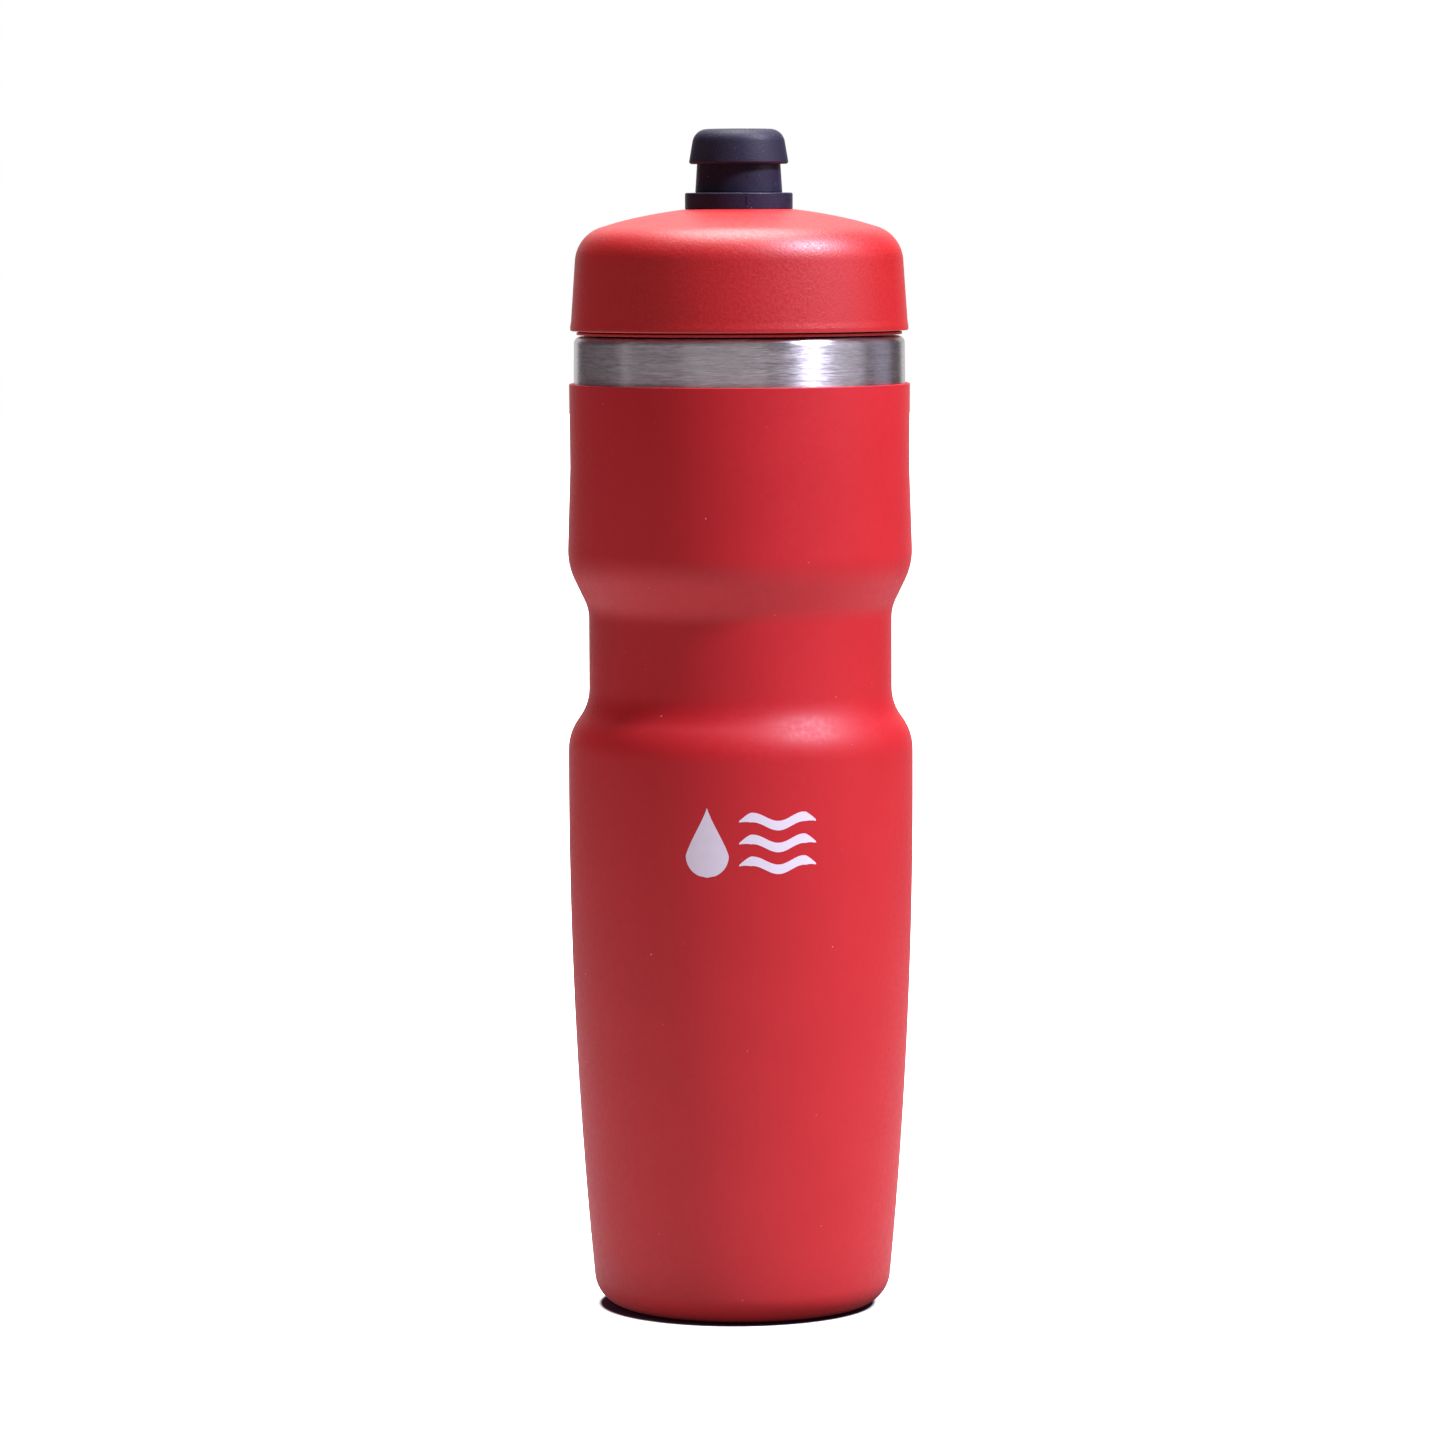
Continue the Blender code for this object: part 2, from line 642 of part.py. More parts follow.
def make_slider():
    """The tapered neck that slides on the tube, with the rib that stops it under the tube's bead."""
    roof = TUBE_TOP + GAP
    path = [
        (RIB_RADIUS, SLIDER_BOTTOM),
        (SLIDER_FOOT_RADIUS, SLIDER_BOTTOM),
        (SLIDER_NECK_RADIUS, SLIDER_NECK_TOP),
        (SLIDER_CORE_RADIUS, SLIDER_NECK_TOP),
        (SLIDER_CORE_RADIUS, SLIDER_TOP),
        (SLIDER_HOLE_RADIUS, SLIDER_TOP),
        (SLIDER_HOLE_RADIUS, roof),
        (SLIDER_BORE, roof),
        (SLIDER_BORE, RIB_TOP),
        (RIB_RADIUS, RIB_TOP),
    ]
    turned("nozzle_slider", path, BLACK_PLASTIC, NOZZLE_SIDES)


def make_mouthpiece():
    """The soft head moulded over the slider, with the mouth that closes on the post."""
    inner = SLIDER_CORE_RADIUS + GAP
    roof = SLIDER_TOP + GAP
    bevel = 0.4
    path = rounded(
        [
            (inner, HEAD_BOTTOM),
            (HEAD_RADIUS - bevel, HEAD_BOTTOM),
            (HEAD_RADIUS, HEAD_BOTTOM + bevel),
            (HEAD_TOP_RADIUS, HEAD_TOP, HEAD_CORNER),
            (MOUTH_RADIUS + bevel, HEAD_TOP),
            (MOUTH_RADIUS, HEAD_TOP - bevel),
            (MOUTH_RADIUS, roof),
            (inner, roof),
        ]
    )
    turned("mouthpiece", path, BLACK_SILICONE, NOZZLE_SIDES)


def make_vent_straw():
    path = [
        (STRAW_BORE, STRAW_TOP),
        (STRAW_RADIUS, STRAW_TOP),
        (STRAW_RADIUS, STRAW_BOTTOM),
        (STRAW_BORE, STRAW_BOTTOM),
    ]
    turned("vent_straw", path, CLEAR_SILICONE, SMALL_SIDES)


def group_under(name, height, members, parent=None):
    """An empty on the bottle's axis that carries the pieces of one moving body."""
    empty = bpy.data.objects.new(name, None)
    bpy.context.scene.collection.objects.link(empty)
    empty.empty_display_size = 20 * MM
    empty.location = (0.0, 0.0, height * MM)
    for member in members:
        bpy.data.objects[member].parent = empty
        bpy.data.objects[member].matrix_parent_inverse = Matrix.Translation((0.0, 0.0, -height * MM))
    if parent:
        empty.parent = parent
        empty.matrix_parent_inverse = Matrix.Translation(-parent.location)
    return empty


def group_pieces():
    straw = group_under("straw_carrier", STRAW_TOP, ["vent_straw"])
    seals = group_under("seal_carrier", LIP_TOP, ["mouth_gasket", "nozzle_seal", "liner_seal"], straw)
    cap_pieces = ["cap_shell", "cap_liner", "nozzle_base", "nozzle_nut", "stopper_post", "slider_seal"]
    cap = group_under("cap_carrier", CAP_BOTTOM, cap_pieces, seals)
    group_under("nozzle_carrier", SLIDER_BOTTOM, ["nozzle_slider", "mouthpiece"], cap)


def main():
    for old in list(bpy.data.objects):
        bpy.data.objects.remove(old, do_unlink=True)
    make_grip_coat()
    make_outer_shell()
    make_inner_flask()
    make_base_pieces()
    make_getter()
    make_cap_shell()
    make_cap_liner()
    make_seals()
    make_nozzle_base()
    make_nozzle_nut()
    make_stopper_post()
    make_slider()
    make_mouthpiece()
    make_vent_straw()
    group_pieces()


main()
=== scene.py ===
"""The look of an insulated steel cycling bottle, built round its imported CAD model.

Profiles are in millimetres, as (radius, height above the base), and become metres when a mesh is made.
Each visible piece is a fine mesh that stands for its CAD node, with a procedural material.
"""

import math

import bmesh
import bpy
from mathutils import Matrix, Vector


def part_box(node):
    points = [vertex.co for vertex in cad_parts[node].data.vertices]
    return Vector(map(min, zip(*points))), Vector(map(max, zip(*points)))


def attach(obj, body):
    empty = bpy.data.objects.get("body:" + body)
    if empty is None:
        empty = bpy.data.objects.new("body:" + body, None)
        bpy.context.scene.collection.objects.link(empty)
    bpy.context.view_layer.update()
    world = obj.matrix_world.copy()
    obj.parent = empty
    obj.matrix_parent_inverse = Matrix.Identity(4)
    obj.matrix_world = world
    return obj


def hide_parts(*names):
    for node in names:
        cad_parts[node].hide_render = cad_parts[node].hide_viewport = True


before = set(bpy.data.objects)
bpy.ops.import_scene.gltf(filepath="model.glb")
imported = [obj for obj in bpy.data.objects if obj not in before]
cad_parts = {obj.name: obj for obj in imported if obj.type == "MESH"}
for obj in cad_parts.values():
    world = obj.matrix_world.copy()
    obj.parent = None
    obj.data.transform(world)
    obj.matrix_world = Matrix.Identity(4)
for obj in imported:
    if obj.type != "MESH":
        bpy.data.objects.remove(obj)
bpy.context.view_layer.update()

MM = 0.001
STEEL = 0.5
WELD_DISTANCE = 1e-8
ARC_STEP = math.radians(5)
WIDE_SIDES = 192
NARROW_SIDES = 96


def measured(node):
    """A round CAD node's outer radius, lowest and highest point, in millimetres."""
    low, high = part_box(node)
    return (high[0] - low[0]) / 2 / MM, low[2] / MM, high[2] / MM


BODY_RADIUS, _, COAT_TOP = measured("grip_coat")
_, _, NECK_TOP = measured("outer_shell")
_, FLASK_BASE, LIP_TOP = measured("inner_flask")
CAP_LIP_RADIUS, CAP_BOTTOM, _ = measured("cap_shell")
LINER_FLANGE_RADIUS, LINER_BOTTOM, LINER_PLATE_TOP = measured("cap_liner")
RING_RADIUS, BARREL_BOTTOM, TUBE_TOP = measured("nozzle_base")
HEAD_RADIUS, HEAD_BOTTOM, HEAD_TOP = measured("mouthpiece")
SLIDER_FOOT_RADIUS, _, SLIDER_TOP = measured("nozzle_slider")
_, SPIGOT_BOTTOM, POST_TOP = measured("stopper_post")
_, STRAW_BOTTOM, STRAW_TOP = measured("vent_straw")
COVER_RADIUS, COVER_LOW, _ = measured("base_cover")
PLATE_RADIUS, PLATE_LOW, PLATE_HIGH = measured("base_plate")
NUT_RADIUS, NUT_LOW, NUT_HIGH = measured("nozzle_nut")

# The waisted body's outside: radii, heights above the base, and the round of each bend.
COAT_TOP_RADIUS = BODY_RADIUS - 0.55
UPPER_BODY_RADIUS = BODY_RADIUS - 0.05
WAIST_RADIUS = BODY_RADIUS - 4.5
UPPER_SHOULDER = COAT_TOP - 38.9
UPPER_SHOULDER_BEND = 14.3
WAIST_TOP = COAT_TOP - 48.15
WAIST_TOP_BEND = 9.2
WAIST_BOTTOM = COAT_TOP - 68.6
WAIST_BOTTOM_BEND = 10.6
LOWER_SHOULDER = COAT_TOP - 74.8
LOWER_SHOULDER_BEND = 11.3
TAPER_TOP = COAT_TOP - 86.1
TAPER_ARC = 1120.0
TAPER_ROWS = 16
BASE_CORNER = 7.0
COAT_THICKNESS = 0.7
COAT_HEM_RADIUS = 22.3
SHELL_INSET = 1.0

BAND_TOP_RADIUS = 35.35
SHOULDER_TOP = COAT_TOP + 10.1
NECK_RADIUS = 30.0
FLANGE_RADIUS = COVER_RADIUS + 0.3
FLANGE_TOP = PLATE_HIGH
FLASK_INSET = 4.3
FLASK_NECK_RADIUS = NECK_RADIUS - 0.8
FLASK_CORNER = 9.0

THREAD_PITCH = 4.0
THREAD_HEIGHT = 1.0
THREAD_LOW = 209.7
THREAD_HIGH = 222.6
NECK_THREAD_START = 211.6
THREAD_TURNS = 2.0
THREAD_FADE = 0.12

LINER_ROOT_RADIUS = 31.45
LINER_OUTER_RADIUS = 32.8
LINER_PLATE_BOTTOM = LINER_PLATE_TOP - 1.3
CAP_CROWN = 236.35
CAP_DOME_ARC = 101.0
CAP_CORNER = 8.0
CAP_CORNER_RADIUS = 34.7
CAP_SKIRT_RADIUS = 35.95
CAP_SKIRT_BOTTOM = 212.0
CAP_WALL = 1.8
CAP_HOLE_RADIUS = 8.9
SEAL_RECESS_RADIUS = 10.9
SEAL_RECESS_FLOOR = 234.4
BOSS_RADIUS = 12.0
BOSS_BOTTOM = 228.0
BOSS_RECESS_ROOF = 229.6
RING_TOP = 239.2
CONTACT = 0.02


# The studio, in metres. The camera stands in front of the bottle, CAMERA_SHIFT to its left.
CAMERA_DISTANCE = 1.2989
CAMERA_HEIGHT = 0.2339
CAMERA_SHIFT = -0.0039
CAMERA_PITCH = 4.758
CAMERA_ROLL = -0.215
LENS = 151.1
FLOOR_GAP = 0.0001
FLOOR_RADIUS = 6.0
FLOOR_LIGHT = 10.0
# What the bottle sees of the floor: a painted glow of pink-tinted bounce light, with painted shade under the
# base, even out to a radius, then dim.
GLOW_COLOUR = (1.0, 0.86, 0.92, 1.0)
GLOW_START = 0.027
GLOW_FULL = 0.050
FLOOR_GLOW = 1.15
PATCH_RADIUS = 0.4
PATCH_FADE = 0.2
FLOOR_FAR_GLOW = 0.2
# What the camera sees of the floor: white, with a dark disc of painted contact shadow where the base meets
# it.
CONTACT_SHADOW_RADIUS = 0.0293
CONTACT_SHADOW_FADE = 0.0012
CONTACT_SHADOW_SHIFT = -0.0012
CONTACT_SHADOW_COLOUR = (0.020, 0.005, 0.011)
SURROUND = (0.064, 0.048, 0.054)
# Lights aim at LIGHT_TARGET, a height. Each is (name, radiance, size, azimuth, elevation, distance, colour).
LIGHT_TARGET = 0.13
LIGHTS = (
    ("key_light", 104.0, (0.27, 0.27), 64.0, 48.0, 1.4, (0.98, 0.97, 1.22)),
    ("top_light", 10.5, (0.8, 0.8), 180.0, 82.0, 1.2, (1.0, 1.0, 1.0)),
    ("back_panel", 0.7, (1.1, 1.0), 180.0, 10.0, 1.0, (1.0, 1.0, 1.0)),
    ("back_high", 0.9, (1.1, 0.6), 180.0, 44.0, 1.2, (1.0, 1.0, 1.0)),
    ("front_high", 0.35, (0.9, 0.6), 10.0, 55.0, 1.6, (1.0, 1.0, 1.0)),
    ("right_panel", 0.9, (0.8, 0.8), 80.0, 20.0, 1.4, (1.0, 0.98, 1.15)),
)
# Panels that light nothing but the outer shell, so its bare steel can be set by itself.
STEEL_LIGHTS = (
    ("steel_front", 0.29, (1.8, 1.6), -10.0, 10.0, 1.6, (1.0, 0.95, 1.0)),
    ("steel_left", 0.07, (1.3, 1.6), -70.0, 10.0, 1.6, (1.0, 0.95, 1.0)),
    ("steel_right", 0.35, (0.6, 1.6), 118.0, 10.0, 1.5, (0.95, 0.93, 1.25)),
    ("steel_strip", 0.8, (0.06, 1.6), -86.0, 10.0, 1.5, (1.0, 0.95, 1.0)),
)


# ---- shapes ----


def rounded(corners, step=ARC_STEP):
    """A polyline through the corners (r, z) or (r, z, fillet), each fillet as an arc."""
    path = []
    for i, corner in enumerate(corners):
        here = Vector(corner[:2])
        fillet = corner[2] if len(corner) > 2 else 0.0
        if not fillet:
            path.append(tuple(here))
            continue
        before = (Vector(corners[i - 1][:2]) - here).normalized()
        after = (Vector(corners[(i + 1) % len(corners)][:2]) - here).normalized()
        half = before.angle(after) / 2
        centre = here + (before + after).normalized() * (fillet / math.sin(half))
        start = here + before * (fillet / math.tan(half)) - centre
        turn = start.angle_signed(here + after * (fillet / math.tan(half)) - centre)
        steps = max(2, round(abs(turn) / step))
        for k in range(steps + 1):
            path.append(tuple(centre + Matrix.Rotation(-turn * k / steps, 2) @ start))
    return path


def inset(path, distance):
    """The path moved to its right by a distance, which is inward on a path that runs down the outside."""
    moved = []
    for i, point in enumerate(path):
        ahead = Vector(path[min(i + 1, len(path) - 1)]) - Vector(point)
        behind = Vector(point) - Vector(path[max(i - 1, 0)])
        sides = [Vector((d.y, -d.x)).normalized() for d in (behind, ahead) if d.length > 0]
        side = sum(sides, Vector((0.0, 0.0))).normalized()
        moved.append(tuple(Vector(point) + side * distance / side.dot(sides[0])))
    return moved


def taper_radius(z):
    return BODY_RADIUS - max(0.0, TAPER_TOP - z) ** 2 / (2 * TAPER_ARC)


def body_corners():
    """The corners of the body's outside, from the coat's top edge down to near the base."""
    corners = [
        (COAT_TOP_RADIUS, COAT_TOP),
        (UPPER_BODY_RADIUS, UPPER_SHOULDER, UPPER_SHOULDER_BEND),
        (WAIST_RADIUS, WAIST_TOP, WAIST_TOP_BEND),
        (WAIST_RADIUS, WAIST_BOTTOM, WAIST_BOTTOM_BEND),
        (BODY_RADIUS, LOWER_SHOULDER, LOWER_SHOULDER_BEND),
    ]
    heights = [TAPER_TOP * (1 - k / TAPER_ROWS) for k in range(TAPER_ROWS - 1)]
    return corners + [(taper_radius(z), z) for z in heights]


def body_outline():
    return rounded(body_corners() + [(taper_radius(0.0), 0.0, BASE_CORNER), (COAT_HEM_RADIUS, 0.0)])


def body_radius(z):
    """The radius of the body's outside at a height."""
    outline = body_outline()
    for (r1, z1), (r2, z2) in zip(outline, outline[1:]):
        if z2 <= z <= z1 and z1 > z2:
            return r2 + (r1 - r2) * (z - z2) / (z1 - z2)
    return outline[0][0]


def flask_outline():
    """The inner flask's outside, from under its lip to the centre of its base."""
    side = [p for p in inset(rounded(body_corners()), FLASK_INSET) if p[1] > FLASK_BASE + FLASK_CORNER]
    foot_radius = taper_radius(FLASK_BASE) - FLASK_INSET
    neck = rounded(
        [
            (FLASK_NECK_RADIUS, LIP_TOP - 0.6),
            (FLASK_NECK_RADIUS, 206.5, 3.0),
            (side[0][0], 200.5, 3.0),
            side[1],
        ]
    )
    foot = rounded([side[-1], (foot_radius, FLASK_BASE, FLASK_CORNER), (0.0, FLASK_BASE)])
    return neck[:-1] + side[1:-1] + foot


def add_ring(mesh, radius, z, sides):
    if radius < 1e-9:
        return [mesh.verts.new((0.0, 0.0, z * MM))]
    turns = (2 * math.pi * i / sides for i in range(sides))
    return [mesh.verts.new((radius * MM * math.cos(a), radius * MM * math.sin(a), z * MM)) for a in turns]


def revolve(mesh, path, sides, closed):
    """Faces between the rings of each two points that follow each other on the path."""
    rings = [add_ring(mesh, r, z, sides) for r, z in path]
    if closed:
        rings.append(rings[0])
    for upper, lower in zip(rings, rings[1:]):
        for i in range(sides):
            j = (i + 1) % sides
            if len(upper) == 1 and len(lower) == 1:
                continue
            if len(upper) == 1:
                mesh.faces.new((upper[0], lower[i], lower[j]))
            elif len(lower) == 1:
                mesh.faces.new((upper[i], lower[0], upper[j]))
            else:
                mesh.faces.new((upper[i], lower[i], lower[j], upper[j]))


def thread_ridge(low, high):
    """(phase, rise) of a rounded ridge between two shares of the pitch."""
    steps = 8
    points = []
    for k in range(steps + 1):
        share = k / steps
        rise = min(1.0, 1.35 * math.sin(math.pi * share))
        points.append((low + (high - low) * share, rise))
    return points


def add_thread(mesh, root, height, start, turns, ridge):
    """A wall from THREAD_LOW to THREAD_HIGH with a helical ridge, whose rows of points follow the helix."""

    def point(row, column):
        cycle, step = divmod(row, len(ridge))
        phase, rise = ridge[step]
        along = cycle + column / WIDE_SIDES
        z = start + THREAD_PITCH * (along + phase)
        fade = min(1.0, max(0.0, along / THREAD_FADE), max(0.0, (turns - along) / THREAD_FADE))
        inside = THREAD_LOW < z < THREAD_HIGH
        radius = root + height * rise * math.sin(fade * math.pi / 2) * inside
        angle = 2 * math.pi * column / WIDE_SIDES
        z = min(max(z, THREAD_LOW), THREAD_HIGH)
        return (round(radius * math.cos(angle), 6), round(radius * math.sin(angle), 6), round(z, 6))

    made = {}
    cycles = math.ceil((THREAD_HIGH - THREAD_LOW) / THREAD_PITCH) + 1
    for row in range(-2 * len(ridge), cycles * len(ridge)):
        for column in range(WIDE_SIDES):
            lower = [point(row, column), point(row, column + 1)]
            corners = lower + [point(row + 1, column + 1), point(row + 1, column)]
            distinct = list(dict.fromkeys(corners))
            if len(distinct) < 3:
                continue
            for corner in distinct:
                if corner not in made:
                    made[corner] = mesh.verts.new(Vector(corner) * MM)
            mesh.faces.new([made[corner] for corner in distinct])


def place(name, mesh, body, nodes, material, sharp=40):
    """An object from a bmesh, on its CAD body, standing for its CAD nodes."""
    bmesh.ops.remove_doubles(mesh, verts=mesh.verts, dist=WELD_DISTANCE)
    bmesh.ops.recalc_face_normals(mesh, faces=mesh.faces)
    data = bpy.data.meshes.new(name)
    mesh.to_mesh(data)
    mesh.free()
    data.shade_smooth()
    data.set_sharp_from_angle(angle=math.radians(sharp))
    data.materials.append(material)
    made = bpy.data.objects.new(name, data)
    bpy.context.scene.collection.objects.link(made)
    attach(made, body)
    if nodes:
        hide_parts(*nodes)
    return made


def turned(path, sides):
    """A bmesh solid of revolution. A path that starts and ends on the axis is open, any other is a loop."""
    mesh = bmesh.new()
    on_axis = path[0][0] == 0 and path[-1][0] == 0
    revolve(mesh, path, sides, closed=not on_axis)
    return mesh


def ring_section(radius, z, section):
    turns = [2 * math.pi * i / 24 for i in range(24)]
    return [(radius + section * math.cos(a), z + section * math.sin(a)) for a in turns]


def combine(made, mesh, operation, name):
    """Joins or cuts a piece with another mesh, for good."""
    bmesh.ops.recalc_face_normals(mesh, faces=mesh.faces)
    data = bpy.data.meshes.new(name)
    mesh.to_mesh(data)
    mesh.free()
    other = bpy.data.objects.new(name, data)
    bpy.context.scene.collection.objects.link(other)
    step = made.modifiers.new(name, "BOOLEAN")
    step.operation = operation
    step.solver = "EXACT"
    step.object = other
    graph = bpy.context.evaluated_depsgraph_get()
    result = bpy.data.meshes.new_from_object(made.evaluated_get(graph))
    made.modifiers.clear()
    made.data = result
    bpy.data.objects.remove(other)
    result.shade_smooth()
    result.set_sharp_from_angle(angle=math.radians(35))


def box_mesh(low, high, turn=0.0, bevel=0.0):
    mesh = bmesh.new()
    size = [(b - a) * MM for a, b in zip(low, high)]
    middle = [(a + b) / 2 * MM for a, b in zip(low, high)]
    shape = Matrix.Rotation(turn, 4, "Z") @ Matrix.Translation(middle) @ Matrix.Diagonal((*size, 1.0))
    bmesh.ops.create_cube(mesh, size=1.0, matrix=shape)
    if bevel:
        bmesh.ops.bevel(mesh, geom=mesh.edges[:], offset=bevel * MM, segments=3, profile=0.5, affect="EDGES")
    return mesh


# ---- materials ----


class Surface:
    """A Principled material, with short calls that add nodes and link them."""

    def __init__(self, name, **shader):
        self.material = bpy.data.materials.new(name)
        self.material.use_nodes = True
        self.tree = self.material.node_tree
        self.shader = self.tree.nodes["Principled BSDF"]
        for socket, value in shader.items():
            self.shader.inputs[socket.replace("_", " ").title().replace("Ior", "IOR")].default_value = value
        self.position = self.add("ShaderNodeTexCoord").outputs["Object"]

    def add(self, kind, links=None, values=None, **settings):
        made = self.tree.nodes.new(kind)
        for key, value in settings.items():
            setattr(made, key, value)
        for socket, value in (values or {}).items():
            made.inputs[socket].default_value = value
        for socket, source in (links or {}).items():
            self.tree.links.new(source, made.inputs[socket])
        return made

    def stretched(self, scale):
        """The position in metres, scaled unevenly."""
        made = self.add("ShaderNodeVectorMath", {0: self.position}, {1: scale}, operation="MULTIPLY")
        return made.outputs["Vector"]

    def noise(self, scale, detail=3.0, rough=0.5, position=None):
        links = {"Vector": position or self.position}
        made = self.add("ShaderNodeTexNoise", links, {"Scale": scale, "Detail": detail, "Roughness": rough})
        return made.outputs["Fac"]

    def remap(self, value, low, high, to_low=0.0, to_high=1.0):
        values = {"From Min": low, "From Max": high, "To Min": to_low, "To Max": to_high}
        return self.add("ShaderNodeMapRange", {"Value": value}, values, clamp=True).outputs["Result"]

    def maths(self, operation, first, second):
        made = self.add("ShaderNodeMath", operation=operation)
        for i, value in enumerate((first, second)):
            if isinstance(value, (int, float)):
                made.inputs[i].default_value = value
            else:
                self.tree.links.new(value, made.inputs[i])
        return made.outputs["Value"]

    def mix(self, share, first, second):
        """A colour between two, each a socket or a plain (r, g, b)."""
        made = self.add("ShaderNodeMix", {0: share}, data_type="RGBA")
        for index, colour in ((6, first), (7, second)):
            if isinstance(colour, tuple):
                made.inputs[index].default_value = (*colour, 1.0)
            else:
                self.tree.links.new(colour, made.inputs[index])
        return made.outputs[2]

    def specks(self, per_metre, size, share):
        """1 on small round specks: one cell in so many holds one, and their sizes differ."""
        values = {"Scale": per_metre, "Randomness": 1.0}
        cells = self.add("ShaderNodeTexVoronoi", {"Vector": self.position}, values)
        chance = self.add("ShaderNodeSeparateColor", {0: cells.outputs["Color"]})
        chosen = self.maths("GREATER_THAN", chance.outputs[0], 1 - share)
        radius = self.maths("MULTIPLY", chance.outputs[1], size)
        near = self.maths("LESS_THAN", cells.outputs["Distance"], radius)
        return self.maths("MULTIPLY", chosen, near)

    def colour(self, source):
        self.tree.links.new(source, self.shader.inputs["Base Color"])

    def roughness(self, source):
        self.tree.links.new(source, self.shader.inputs["Roughness"])

    def bump(self, height, distance, before=None):
        """Bumps of a height in metres, on top of earlier ones."""
        links = {"Height": height}
        if before:
            links["Normal"] = before
        made = self.add("ShaderNodeBump", links, {"Strength": 1.0, "Distance": distance})
        self.tree.links.new(made.outputs["Normal"], self.shader.inputs["Normal"])
        return made.outputs["Normal"]


def red_silicone():
    """The coat: matte, a little powdery, with stray dust."""
    s = Surface("red_silicone", specular_ior_level=0.5, sheen_weight=0.03, sheen_roughness=0.4)
    mottle = s.remap(s.noise(60.0, 4.0), 0.3, 0.7)
    red = s.mix(mottle, (0.560, 0.0085, 0.0150), (0.590, 0.0110, 0.0185))
    dust = s.maths("MAXIMUM", s.specks(420.0, 0.07, 0.06), s.specks(900.0, 0.09, 0.02))
    s.colour(s.mix(s.maths("MULTIPLY", dust, 0.65), red, (0.85, 0.55, 0.55)))
    grain = s.noise(2600.0, 2.0)
    s.roughness(s.remap(s.noise(900.0, 3.0), 0.3, 0.7, 0.46, 0.56))
    s.bump(grain, 0.000012)
    return s.material


def red_plastic():
    """The cap: fine spark-eroded texture that breaks up the highlight."""
    s = Surface("red_plastic", specular_ior_level=1.0)
    mottle = s.remap(s.noise(70.0, 3.0), 0.3, 0.7)
    red = s.mix(mottle, (0.530, 0.0020, 0.0040), (0.560, 0.0030, 0.0055))
    dust = s.specks(700.0, 0.10, 0.03)
    s.colour(s.mix(s.maths("MULTIPLY", dust, 0.6), red, (0.90, 0.60, 0.55)))
    s.roughness(s.remap(s.noise(1800.0, 2.0), 0.35, 0.65, 0.42, 0.52))
    coarse = s.bump(s.noise(1900.0, 2.0), 0.000045)
    s.bump(s.noise(3600.0, 1.0), 0.000012, coarse)
    return s.material


def brushed_steel():
    """The bare band and neck: brushed round the axis, streaks long round it and very fine along it."""
    s = Surface("brushed_steel", metallic=1.0, anisotropic=0.9, anisotropic_rotation=0.25)
    tangent = s.add("ShaderNodeTangent", direction_type="RADIAL", axis="Z")
    s.tree.links.new(tangent.outputs["Tangent"], s.shader.inputs["Tangent"])
    fine = s.noise(1.0, 2.0, 0.6, s.stretched((420.0, 420.0, 6500.0)))
    broad = s.noise(1.0, 2.0, 0.5, s.stretched((110.0, 110.0, 2400.0)))
    streaks = s.maths("ADD", s.maths("MULTIPLY", fine, 0.6), s.maths("MULTIPLY", broad, 0.4))
    s.colour(s.mix(s.remap(streaks, 0.36, 0.64), (0.45, 0.44, 0.45), (0.72, 0.705, 0.725)))
    s.roughness(s.remap(streaks, 0.35, 0.65, 0.30, 0.42))
    s.bump(streaks, 0.000010)
    return s.material


def drawn_steel():
    """Inside surfaces: drawn and electropolished, faint rings and a soft mottle."""
    s = Surface("drawn_steel", metallic=1.0)
    rings = s.noise(1.0, 3.0, 0.5, s.stretched((25.0, 25.0, 700.0)))
    s.colour(s.mix(s.noise(120.0, 4.0), (0.56, 0.55, 0.55), (0.68, 0.67, 0.66)))
    s.roughness(s.remap(rings, 0.3, 0.7, 0.22, 0.36))
    s.bump(rings, 0.000020)
    return s.material


def black_moulding(name, tint, rough, grain):
    """Black plastic or silicone with a navy tint, a sparkling grain and pale dust."""
    s = Surface(name, specular_ior_level=0.4)
    mottle = s.remap(s.noise(300.0, 3.0), 0.3, 0.7)
    darker = tuple(0.75 * c for c in tint)
    dust = s.maths("MAXIMUM", s.specks(1100.0, 0.13, 0.10), s.specks(2300.0, 0.16, 0.06))
    s.colour(s.mix(s.maths("MULTIPLY", dust, 0.75), s.mix(mottle, darker, tint), (0.42, 0.40, 0.55)))
    s.roughness(s.remap(s.noise(2400.0, 2.0), 0.35, 0.65, rough - 0.06, rough + 0.06))
    s.bump(s.noise(2200.0, 2.0), grain)
    return s.material


def clear_silicone():
    s = Surface("clear_silicone", roughness=0.38, transmission_weight=0.45, ior=1.41)
    s.colour(s.mix(s.noise(200.0, 3.0), (0.82, 0.82, 0.80), (0.90, 0.90, 0.88)))
    s.bump(s.noise(900.0, 2.0), 0.00001)
    return s.material


def white_ink():
    """Pad-printed ink: nearly white, a touch lilac, with pinholes."""
    s = Surface("white_ink", specular_ior_level=0.4)
    pinholes = s.specks(2600.0, 0.25, 0.06)
    white = s.mix(s.noise(500.0, 3.0), (0.80, 0.76, 0.86), (0.88, 0.84, 0.93))
    s.colour(s.mix(s.maths("MULTIPLY", pinholes, 0.5), white, (0.70, 0.30, 0.34)))
    s.roughness(s.remap(s.noise(1500.0, 2.0), 0.3, 0.7, 0.48, 0.58))
    s.bump(s.noise(2600.0, 2.0), 0.000010)
    return s.material


def glass_solder():
    s = Surface("glass_solder", roughness=0.12)
    s.colour(s.mix(s.noise(800.0, 4.0), (0.04, 0.06, 0.05), (0.10, 0.13, 0.11)))
    s.bump(s.noise(600.0, 2.0), 0.00003)
    return s.material


